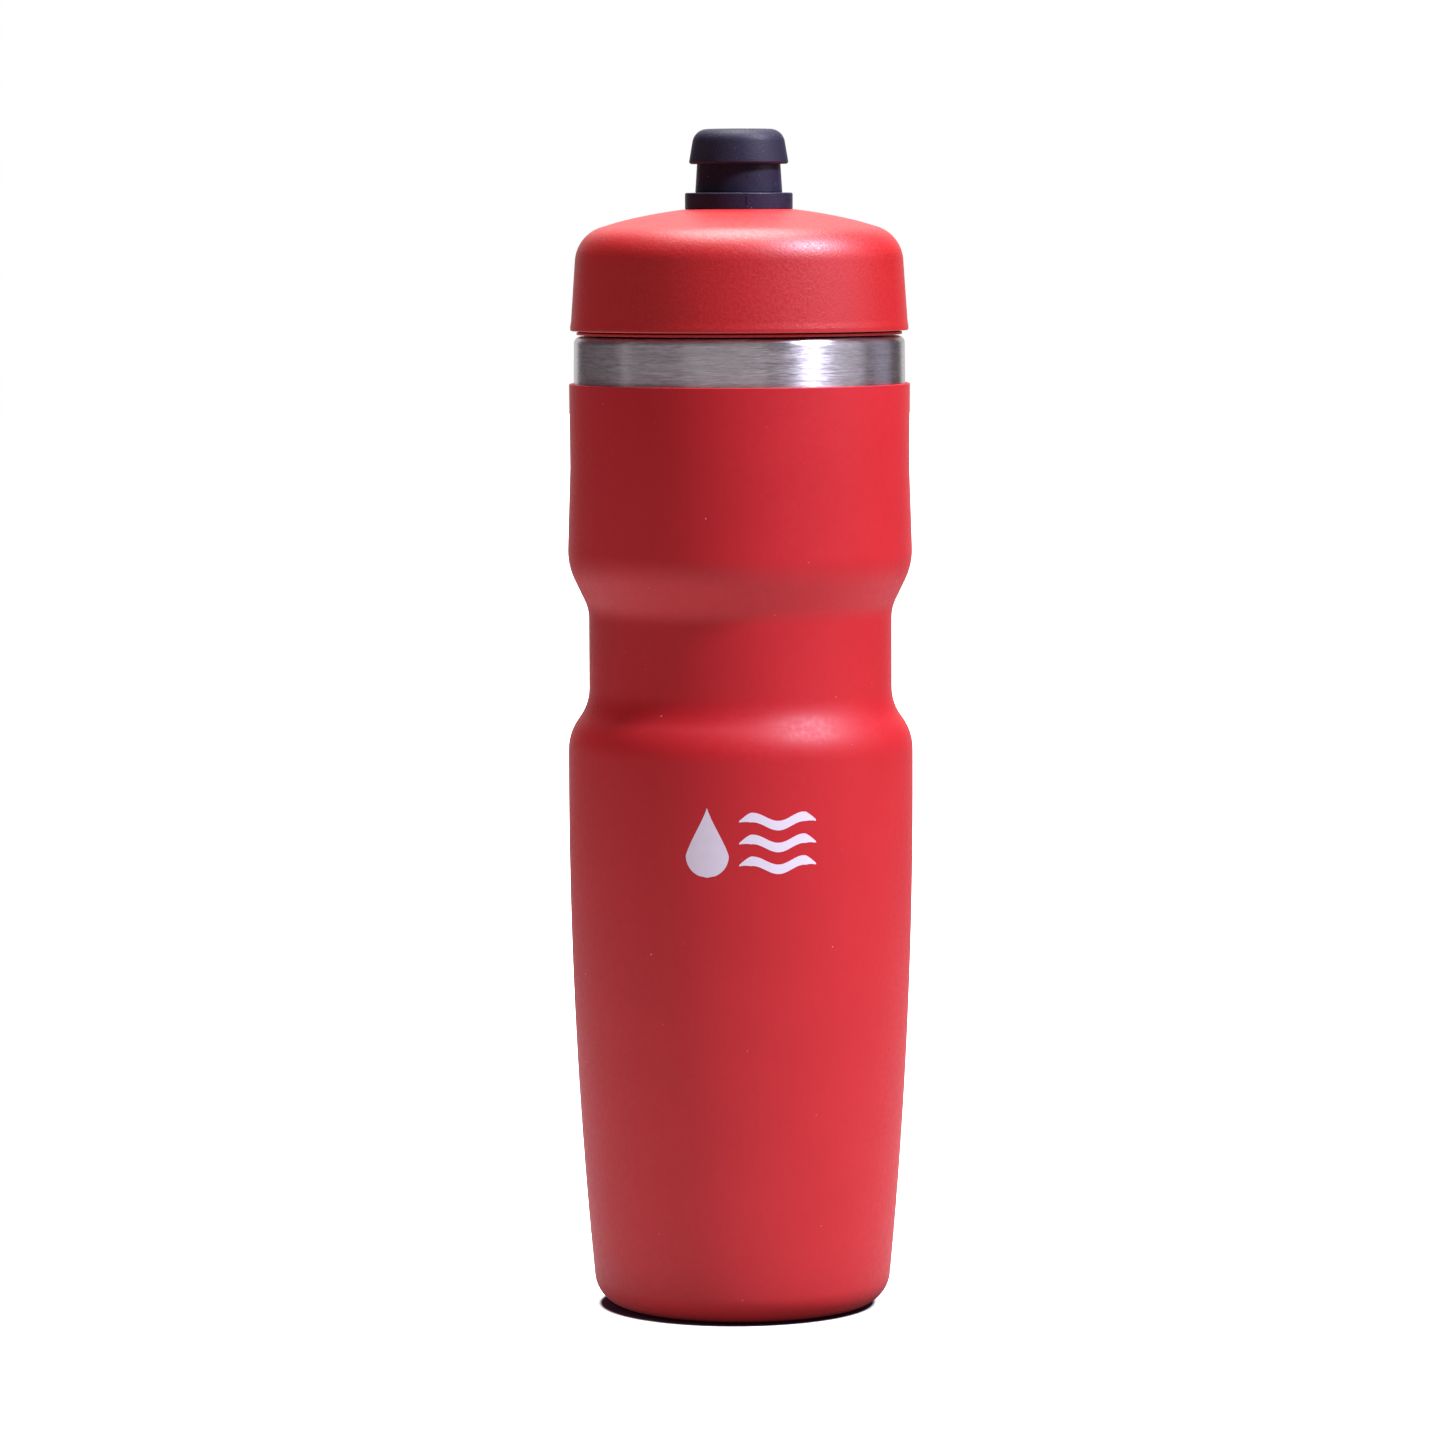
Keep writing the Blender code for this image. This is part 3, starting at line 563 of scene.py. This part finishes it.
def getter_metal():
    s = Surface("getter_metal", metallic=1.0)
    s.colour(s.mix(s.noise(1500.0, 4.0), (0.22, 0.21, 0.20), (0.38, 0.37, 0.36)))
    s.roughness(s.remap(s.noise(2500.0, 3.0), 0.3, 0.7, 0.55, 0.8))
    s.bump(s.noise(3000.0, 3.0), 0.00003)
    return s.material


RED_SILICONE = red_silicone()
RED_PLASTIC = red_plastic()
BRUSHED_STEEL = brushed_steel()
DRAWN_STEEL = drawn_steel()
BLACK_PLASTIC = black_moulding("black_plastic", (0.022, 0.018, 0.046), 0.46, 0.00004)
BLACK_SILICONE = black_moulding("black_silicone", (0.020, 0.016, 0.042), 0.56, 0.00004)
CLEAR_SILICONE = clear_silicone()
WHITE_INK = white_ink()
GLASS_SOLDER = glass_solder()
GETTER_METAL = getter_metal()


# ---- the bottle body ----


def make_coat():
    """The silicone coat, with a rounded top edge and a rounded hem under the base."""
    outside = body_outline()
    inside = inset(outside, COAT_THICKNESS)[::-1]
    edge = 0.25
    top = rounded([outside[1], (*outside[0], edge), (inside[-1][0], COAT_TOP, 0.1), inside[-2]])
    hem = rounded([outside[-2], (*outside[-1], 0.25), (COAT_HEM_RADIUS, COAT_THICKNESS, 0.25), inside[1]])
    path = top[1:-1] + outside[1:-1] + hem[1:-1] + inside[1:-1]
    place("silicone_coat", turned(path, WIDE_SIDES), "bottle", ["grip_coat"], RED_SILICONE)


def make_shell():
    """The neck with its thread, the shoulder, the bare band, the wall under the coat and the base flange."""
    side = inset(body_outline(), SHELL_INSET)
    shoulder = rounded(
        [
            (NECK_RADIUS, THREAD_LOW),
            (NECK_RADIUS, SHOULDER_TOP, 0.9),
            (BAND_TOP_RADIUS, SHOULDER_TOP, 1.5),
            side[0],
        ]
    )
    flange = rounded(
        [
            side[-2],
            (FLANGE_RADIUS, SHELL_INSET, 0.8),
            (FLANGE_RADIUS, FLANGE_TOP, 0.2),
            (FLANGE_RADIUS + STEEL, FLANGE_TOP, 0.2),
            (FLANGE_RADIUS + STEEL, SHELL_INSET + 3 * STEEL, 0.0),
        ]
    )
    wall = inset(shoulder + side[1:-1], STEEL)
    neck_inside = [(NECK_RADIUS - STEEL, NECK_TOP), (NECK_RADIUS, NECK_TOP), (NECK_RADIUS, THREAD_HIGH)]
    mesh = bmesh.new()
    path = shoulder + side[1:-1] + flange[1:] + wall[::-1] + neck_inside
    revolve(mesh, path, WIDE_SIDES, closed=False)
    add_thread(mesh, NECK_RADIUS, THREAD_HEIGHT, NECK_THREAD_START, THREAD_TURNS, thread_ridge(0.0, 0.48))
    place("steel_shell", mesh, "bottle", ["outer_shell"], BRUSHED_STEEL)


def make_flask():
    """The inner flask with its rolled lip."""
    outside = flask_outline()
    inside = inset(outside, STEEL)
    lip_radius = 30.2
    lip = rounded(
        [
            inside[1],
            (FLASK_NECK_RADIUS - STEEL, LIP_TOP, 0.5),
            (lip_radius, LIP_TOP, 0.3),
            (lip_radius, LIP_TOP - 0.6, 0.2),
            outside[0],
        ]
    )
    path = inside[:0:-1] + lip[1:-1] + outside
    place("steel_flask", turned(path, WIDE_SIDES), "bottle", ["inner_flask"], DRAWN_STEEL)


def make_base_pieces():
    """The welded plate with its vacuum port, the solder bead, the getter, and the stamped cover."""
    rim = PLATE_RADIUS
    low = PLATE_LOW
    plate = rounded(
        [
            (1.0, 4.6),
            (3.4, 4.6, 0.4),
            (4.4, low, 0.4),
            (rim, low, 0.6),
            (rim, PLATE_HIGH - 0.5),
            (rim - 0.5, PLATE_HIGH - 0.5),
            (rim - 0.5, 3.4, 0.15),
            (4.8, 3.4, 0.4),
            (3.7, PLATE_HIGH, 0.4),
            (1.0, PLATE_HIGH),
        ]
    )
    place("welded_plate", turned(plate, WIDE_SIDES), "bottle", ["base_plate"], DRAWN_STEEL)
    bead = rounded([(0.0, 3.1), (2.4, 3.1, 0.8), (3.0, 3.7, 0.2), (2.7, 4.3), (0.0, 4.3)])
    place("solder_bead", turned(bead, NARROW_SIDES), "bottle", ["vacuum_seal"], GLASS_SOLDER)
    under = rounded(
        [
            (0.0, 2.1),
            (6.0, 2.1, 1.5),
            (7.0, 1.9, 1.5),
            (8.0, 2.1, 1.5),
            (15.0, 2.1, 1.2),
            (17.0, COVER_LOW, 1.2),
            (COVER_RADIUS - 0.3, COVER_LOW),
        ]
    )
    edge = [(COVER_RADIUS, COVER_LOW + 0.25), (COVER_RADIUS - 0.1, COVER_LOW + STEEL)]
    cover = under + edge + [(r, z + STEEL) for r, z in under[-2::-1]]
    mesh = turned(cover, WIDE_SIDES)
    place("stamped_cover", mesh, "bottle", ["base_cover"], BRUSHED_STEEL)
    pellet = rounded([(0.0, 5.9), (4.0, 5.9, 0.4), (4.0, 7.6, 0.2), (0.0, 7.6)])
    mesh = turned(pellet, NARROW_SIDES)
    place("getter_pellet", mesh, "bottle", ["getter"], GETTER_METAL)
    cup_inner = rounded([(0.0, 7.9), (4.3, 7.9, 0.2), (4.3, 6.0)])
    cup_outer = rounded([(4.7, 6.0), (4.7, 8.0, 0.2), (6.6, 8.4), (6.6, 8.8), (4.4, 8.4, 0.3), (0.0, 8.4)])
    cup = turned(cup_inner + cup_outer, NARROW_SIDES)
    place("spring_cup", cup, "bottle", ["getter_cup"], DRAWN_STEEL)


def wrapped(grid, lift, depth):
    """A thin closed patch on the front of the body from a grid of (x, z) points, in millimetres."""
    mesh = bmesh.new()

    def point(x, z, height):
        radius = body_radius(z)
        angle = x / radius
        return ((radius + height) * MM * math.sin(angle), -(radius + height) * MM * math.cos(angle), z * MM)

    layers = [[[mesh.verts.new(point(x, z, h)) for x, z in row] for row in grid] for h in (lift, -depth)]
    top, bottom = layers
    rows, columns = len(grid), len(grid[0])
    for i in range(rows - 1):
        for j in range(columns - 1):
            mesh.faces.new((top[i][j], top[i + 1][j], top[i + 1][j + 1], top[i][j + 1]))
            mesh.faces.new((bottom[i][j], bottom[i][j + 1], bottom[i + 1][j + 1], bottom[i + 1][j]))
    rim = [(i, 0) for i in range(rows)]
    rim += [(rows - 1, j) for j in range(1, columns)]
    rim += [(i, columns - 1) for i in range(rows - 2, -1, -1)]
    rim += [(0, j) for j in range(columns - 2, 0, -1)]
    for (a, b), (c, d) in zip(rim, rim[1:] + rim[:1]):
        mesh.faces.new((top[a][b], top[c][d], bottom[c][d], bottom[a][b]))
    return mesh


def drop_grid(centre_x, low, height, width):
    """A water drop: a half-round bottom that runs up to a point."""
    rows, columns = 40, 16
    radius = width / 2
    grid = []
    for i in range(rows + 1):
        t = i / rows
        z = height * t
        if z < radius:
            half = math.sqrt(max(0.0, radius**2 - (radius - z) ** 2))
        else:
            u = (z - radius) / (height - radius)
            half = radius * (1 - u) * (1 + 0.55 * u * (1 - u) - 0.25 * u)
        half = max(half, 0.02)
        grid.append([(centre_x + half * (2 * j / columns - 1), low + z) for j in range(columns + 1)])
    return grid


def wave_grid(left, right, middle, swing, thickness):
    """A wavy stroke with tapered ends."""
    columns, rows = 60, 4
    grid = []
    for i in range(rows + 1):
        row = []
        for j in range(columns + 1):
            t = j / columns
            x = left + (right - left) * t
            taper = min(1.0, 6 * t + 0.15, 6 * (1 - t) + 0.15)
            z = middle + swing * math.sin(2 * math.pi * 1.5 * t) + thickness * taper * (i / rows - 0.5)
            row.append((x, z))
        grid.append(row)
    return grid


def make_mark():
    """A generic printed mark where the maker's would be: a water drop and three waves."""
    middle_x, middle_z = 2.1, COAT_TOP - 95.1
    width, height = 28.0, 14.6
    left, low = middle_x - width / 2, middle_z - height / 2
    drop = wrapped(drop_grid(left + 4.6, low, height, 9.2), 0.04, 0.06)
    place("mark_drop", drop, "bottle", [], WHITE_INK)
    for k in range(3):
        wave = wave_grid(left + 11.4, left + width, low + 2.6 + 4.6 * k, 0.9, 2.0)
        place(f"mark_wave_{k}", wrapped(wave, 0.04, 0.06), "bottle", [], WHITE_INK)


# ---- the cap ----


def dome_point(radius):
    return (radius, CAP_CROWN - radius**2 / (2 * CAP_DOME_ARC))


def make_cap():
    """The red cap: crowned top, a wide soft corner, a skirt that flares, and a small lip at its hem."""
    dome = [dome_point(SEAL_RECESS_RADIUS + k * 1.5) for k in range(11)]
    corner = (*dome_point(CAP_CORNER_RADIUS), CAP_CORNER)
    skirt = (CAP_SKIRT_RADIUS, CAP_SKIRT_BOTTOM)
    outside = rounded(
        [
            *dome,
            corner,
            (*skirt, 6.0),
            (CAP_LIP_RADIUS, CAP_BOTTOM + 0.9, 0.5),
            (CAP_LIP_RADIUS, CAP_BOTTOM, 0.3),
            (CAP_SKIRT_RADIUS - CAP_WALL, CAP_BOTTOM),
        ]
    )
    inside = inset(rounded([*dome, corner, skirt]), CAP_WALL)
    seat = [(CAP_HOLE_RADIUS, SEAL_RECESS_FLOOR), (SEAL_RECESS_RADIUS, SEAL_RECESS_FLOOR)]
    boss = [
        (BOSS_RADIUS, inside[0][1]),
        (BOSS_RADIUS, BOSS_BOTTOM),
        (SEAL_RECESS_RADIUS, BOSS_BOTTOM),
        (SEAL_RECESS_RADIUS, BOSS_RECESS_ROOF),
        (CAP_HOLE_RADIUS, BOSS_RECESS_ROOF),
    ]
    path = seat + outside + inside[:0:-1] + boss
    place("domed_cap", turned(path, WIDE_SIDES), "cap", ["cap_shell"], RED_PLASTIC)


def make_liner():
    """The threaded liner, whose flange shows as a thin line in the gap under the cap."""
    hole = 9.2
    low = LINER_BOTTOM
    path = rounded(
        [
            (LINER_ROOT_RADIUS, THREAD_HIGH),
            (LINER_ROOT_RADIUS, LINER_PLATE_BOTTOM, 0.3),
            (hole, LINER_PLATE_BOTTOM, 0.2),
            (hole, LINER_PLATE_TOP, 0.2),
            (31.3, LINER_PLATE_TOP, 0.5),
            (LINER_OUTER_RADIUS, 225.0, 1.0),
            (LINER_OUTER_RADIUS, low + 1.5, 0.3),
            (33.4, low + 0.55, 0.2),
            (LINER_FLANGE_RADIUS, low + 0.55, 0.15),
            (LINER_FLANGE_RADIUS, low, 0.15),
            (LINER_ROOT_RADIUS, low, 0.2),
            (LINER_ROOT_RADIUS, THREAD_LOW),
        ]
    )
    mesh = bmesh.new()
    revolve(mesh, path, WIDE_SIDES, closed=False)
    turns = THREAD_TURNS + 0.25
    start = NECK_THREAD_START - THREAD_PITCH
    add_thread(mesh, LINER_ROOT_RADIUS, -1.05 * THREAD_HEIGHT, start, turns, thread_ridge(0.6, 0.9))
    place("threaded_liner", mesh, "cap", ["cap_liner"], RED_PLASTIC)


def make_seals():
    gasket = rounded([(28.4, 225.1, 0.3), (30.9, 225.1, 0.3), (30.9, 226.1, 0.2), (28.4, 226.1, 0.2)])
    mesh = turned(gasket, WIDE_SIDES)
    place("silicone_gasket", mesh, "seals", ["mouth_gasket"], CLEAR_SILICONE)
    for name, node, radius, z, body in (
        ("ring_seal", "nozzle_seal", 9.85, 235.2, "seals"),
        ("plate_seal", "liner_seal", 9.85, 228.65, "seals"),
        ("tube_seal", "slider_seal", 7.25, 248.05, "cap"),
    ):
        mesh = turned(ring_section(radius, z, 0.45), NARROW_SIDES)
        place(name, mesh, body, [node], BLACK_SILICONE)


# ---- the nozzle ----


def make_nozzle_base():
    """The barrel, the ring that shows on the cap with its fine mould lines, and the tube."""
    barrel, bore, tube, tube_bore, bead, groove = 8.6, 6.4, 6.95, 5.4, 7.6, 6.5
    seat = dome_point(RING_RADIUS)[1]
    path = rounded(
        [
            (barrel, BARREL_BOTTOM, 0.3),
            (barrel, seat + 0.3, 0.1),
            (SEAL_RECESS_RADIUS, seat + 0.3),
            (RING_RADIUS - 0.1, seat + CONTACT),
            (RING_RADIUS, seat + 0.1),
            (RING_RADIUS, RING_TOP, 0.35),
            (tube, RING_TOP, 0.2),
            (tube, 246.9, 0.1),
            (bead, 246.9, 0.2),
            (bead, 247.4, 0.15),
            (groove, 247.4, 0.1),
            (groove, 248.7, 0.1),
            (bead, 248.7, 0.15),
            (bead, TUBE_TOP, 0.25),
            (tube_bore, TUBE_TOP, 0.25),
            (tube_bore, 231.0, 0.8),
            (bore, 229.5, 0.8),
            (bore, BARREL_BOTTOM, 0.3),
        ]
    )
    base = turned(path, NARROW_SIDES)
    made = place("nozzle_barrel", base, "cap", ["nozzle_base"], BLACK_PLASTIC)
    for k in range(2):
        turn = math.radians(-90 + 180 * k + 7.6)
        low = (RING_RADIUS - 0.12, -0.09, seat - 0.1)
        high = (RING_RADIUS + 0.3, 0.09, RING_TOP + 0.1)
        combine(made, box_mesh(low, high, turn), "DIFFERENCE", f"mould_line_{k}")


def make_nut():
    """The nut under the cap, with six flats and a flange."""
    bore, waist = 8.9, 11.6
    path = rounded(
        [
            (bore, NUT_HIGH),
            (NUT_RADIUS, NUT_HIGH, 0.2),
            (NUT_RADIUS, NUT_HIGH - 0.9, 0.2),
            (waist, NUT_HIGH - 0.9, 0.1),
            (waist, NUT_LOW, 0.3),
            (bore, NUT_LOW, 0.2),
        ]
    )
    mesh = turned(path, NARROW_SIDES)
    made = place("clamp_nut", mesh, "cap", ["nozzle_nut"], BLACK_PLASTIC)
    for k in range(6):
        flat = box_mesh((10.6, -8.0, NUT_LOW - 1.0), (14.0, 8.0, NUT_HIGH - 1.1), math.radians(60 * k))
        combine(made, flat, "DIFFERENCE", f"nut_flat_{k}")


def make_post():
    """The hollow post with its rounded tip, air port, spoked hub and the barbed spigot for the straw."""
    tip, post, bore = 2.5, 2.2, 1.2
    hub_low, hub_high, hub_radius = 224.3, 228.3, 6.1
    path = rounded(
        [
            (0.0, POST_TOP),
            (tip, POST_TOP, 0.5),
            (tip, 250.4, 0.3),
            (post, 249.8, 0.3),
            (post, SPIGOT_BOTTOM, 0.4),
            (bore, SPIGOT_BOTTOM, 0.2),
            (bore, 248.4, 0.4),
            (0.0, 248.4),
        ]
    )
    made = place("centre_post", turned(path, 48), "cap", ["stopper_post"], BLACK_PLASTIC)
    hub = rounded(
        [(hub_radius, hub_high, 0.3), (hub_radius, hub_low, 0.3), (5.0, hub_low, 0.3), (5.0, hub_high, 0.3)]
    )
    combine(made, turned(hub, NARROW_SIDES), "UNION", "hub_ring")
    for k in range(3):
        turn = math.radians(120 * k + 90)
        spoke = box_mesh((1.7, -0.6, hub_low + 0.4), (5.5, 0.6, hub_high - 0.4), turn, 0.2)
        combine(made, spoke, "UNION", f"spoke_{k}")
    combine(made, box_mesh((-3.0, -0.6, 246.6), (3.0, 0.6, 247.8)), "DIFFERENCE", "air_port")


def make_slider():
    """The tapered neck that slides on the tube, with the rib that stops it at the bead."""
    rib, neck, core, bore, hole = 7.35, 8.9, 8.4, 7.9, 3.6
    foot = RING_TOP + CONTACT
    path = rounded(
        [
            (rib, foot, 0.2),
            (SLIDER_FOOT_RADIUS, foot, 0.2),
            (neck, HEAD_BOTTOM + 0.1),
            (core, HEAD_BOTTOM + 0.1),
            (core, SLIDER_TOP, 0.3),
            (hole, SLIDER_TOP, 0.15),
            (hole, SLIDER_TOP - 0.6, 0.15),
            (bore, SLIDER_TOP - 0.6, 0.2),
            (bore, 240.6, 0.2),
            (rib, 240.6, 0.2),
        ]
    )
    mesh = turned(path, WIDE_SIDES)
    place("sliding_neck", mesh, "nozzle", ["nozzle_slider"], BLACK_PLASTIC)


def make_head():
    """The soft head: a flat top, a wide round corner, and sides that flare to a thin lower lip."""
    mouth, inner, top, corner = 2.8, 8.7, 9.4, 3.2
    path = rounded(
        [
            (inner, HEAD_BOTTOM + 0.3, 0.1),
            (HEAD_RADIUS - 0.35, HEAD_BOTTOM, 0.15),
            (HEAD_RADIUS, HEAD_BOTTOM + 0.4, 0.25),
            (top, HEAD_TOP, corner),
            (mouth, HEAD_TOP, 0.6),
            (mouth, SLIDER_TOP + 0.3, 0.1),
            (inner, SLIDER_TOP + 0.3, 0.2),
        ]
    )
    place("soft_head", turned(path, WIDE_SIDES), "nozzle", ["mouthpiece"], BLACK_SILICONE)


def make_straw():
    inner, outer = 2.5, 3.7
    path = rounded(
        [
            (inner, STRAW_TOP, 0.3),
            (outer, STRAW_TOP, 0.3),
            (outer, STRAW_BOTTOM, 0.3),
            (inner, STRAW_BOTTOM, 0.3),
        ]
    )
    place("silicone_straw", turned(path, 64), "straw", ["vent_straw"], CLEAR_SILICONE)


# ---- floor, light and camera ----


def make_floor():
    """A wide floor: lit white by its own light for the camera, with a painted contact shadow under the base,
    and a painted glowing patch for every other ray.
    """
    mesh = bmesh.new()
    bmesh.ops.create_circle(mesh, cap_ends=True, segments=96, radius=FLOOR_RADIUS)
    data = bpy.data.meshes.new("studio_floor")
    mesh.to_mesh(data)
    mesh.free()
    floor = bpy.data.objects.new("studio_floor", data)
    floor.location.z = -FLOOR_GAP
    bpy.context.scene.collection.objects.link(floor)
    s = Surface("floor_white", roughness=0.9, specular_ior_level=0.0)
    centre = s.add("ShaderNodeVectorMath", {0: s.position}, operation="LENGTH").outputs["Value"]
    # A dark disc of painted contact shadow under the base's edge, its centre shifted a little to the left.
    middle = {1: (CONTACT_SHADOW_SHIFT, 0.0, 0.0)}
    from_shadow_centre = s.add("ShaderNodeVectorMath", {0: s.position}, middle, operation="DISTANCE")
    unshadowed_floor = s.remap(from_shadow_centre.outputs["Value"], CONTACT_SHADOW_RADIUS, CONTACT_SHADOW_RADIUS + CONTACT_SHADOW_FADE)
    white = s.mix(s.noise(3.0, 2.0), (0.90, 0.90, 0.90), (0.91, 0.91, 0.91))
    s.colour(s.mix(unshadowed_floor, CONTACT_SHADOW_COLOUR, white))
    # Painted bounce light: an emission that every ray but the camera's sees, with painted shade under the
    # base.
    glow = s.add("ShaderNodeEmission", {}, {"Color": GLOW_COLOUR})
    fall = s.remap(centre, PATCH_RADIUS, PATCH_RADIUS + PATCH_FADE, FLOOR_GLOW, FLOOR_FAR_GLOW)
    shaded = s.remap(centre, GLOW_START, GLOW_FULL)
    s.tree.links.new(s.maths("MULTIPLY", fall, shaded), glow.inputs["Strength"])
    seen = s.add("ShaderNodeLightPath").outputs["Is Camera Ray"]
    both = s.add("ShaderNodeMixShader", {0: seen, 1: glow.outputs[0], 2: s.shader.outputs[0]})
    s.tree.links.new(both.outputs[0], s.tree.nodes["Material Output"].inputs["Surface"])
    data.materials.append(s.material)
    only_floor = bpy.data.collections.new("floor_only")
    only_floor.objects.link(floor)
    sky = bpy.data.lights.new("floor_light", "SUN")
    sky.angle = math.pi
    sky.energy = FLOOR_LIGHT
    light = bpy.data.objects.new("floor_light", sky)
    bpy.context.scene.collection.objects.link(light)
    light.light_linking.receiver_collection = only_floor


def area_light(name, radiance, size, azimuth, elevation, distance, colour):
    """A soft light of even brightness that faces the bottle. Azimuth 0 is the camera's side."""
    turn, rise = math.radians(azimuth), math.radians(elevation)
    away = Vector((math.sin(turn) * math.cos(rise), -math.cos(turn) * math.cos(rise), math.sin(rise)))
    data = bpy.data.lights.new(name, "AREA")
    data.shape = "RECTANGLE"
    data.size, data.size_y = size
    data.energy = radiance * math.pi * size[0] * size[1]
    data.color = colour
    light = bpy.data.objects.new(name, data)
    light.location = Vector((0.0, 0.0, LIGHT_TARGET)) + away * distance
    light.rotation_euler = (-away).to_track_quat("-Z", "Y").to_euler()
    light.visible_camera = False
    bpy.context.scene.collection.objects.link(light)
    return light


def make_lights():
    """The lights, the steel's own panels, and a world that is white to the camera and dim to the rest."""
    for light in LIGHTS:
        area_light(*light)
    steel = bpy.data.collections.new("steel_only")
    steel.objects.link(bpy.data.objects["steel_shell"])
    for light in STEEL_LIGHTS:
        area_light(*light).light_linking.receiver_collection = steel
    world = bpy.data.worlds.new("studio_world")
    bpy.context.scene.world = world
    world.use_nodes = True
    tree = world.node_tree
    background = tree.nodes["Background"]
    path = tree.nodes.new("ShaderNodeLightPath")
    seen = tree.nodes.new("ShaderNodeMix")
    seen.data_type = "RGBA"
    seen.inputs[6].default_value = (*SURROUND, 1.0)
    seen.inputs[7].default_value = (1.0, 1.0, 1.0, 1.0)
    tree.links.new(path.outputs["Is Camera Ray"], seen.inputs[0])
    tree.links.new(seen.outputs[2], background.inputs["Color"])


def make_camera():
    """A long lens at the height of the nozzle, looking a little down."""
    data = bpy.data.cameras.new("camera")
    data.sensor_width = 36.0
    data.lens = LENS
    data.clip_start = 0.05
    data.clip_end = 30.0
    camera = bpy.data.objects.new("camera", data)
    camera.matrix_world = (
        Matrix.Translation((CAMERA_SHIFT, -CAMERA_DISTANCE, CAMERA_HEIGHT))
        @ Matrix.Rotation(math.radians(90 - CAMERA_PITCH), 4, "X")
        @ Matrix.Rotation(math.radians(CAMERA_ROLL), 4, "Z")
    )
    bpy.context.scene.collection.objects.link(camera)
    bpy.context.scene.camera = camera


def set_tones():
    view = bpy.context.scene.view_settings
    view.view_transform = "Standard"
    view.look = "None"


def main():
    make_camera()
    make_coat()
    make_shell()
    make_flask()
    make_base_pieces()
    make_mark()
    make_cap()
    make_liner()
    make_seals()
    make_nozzle_base()
    make_nut()
    make_post()
    make_slider()
    make_head()
    make_straw()
    make_floor()
    make_lights()
    set_tones()


main()
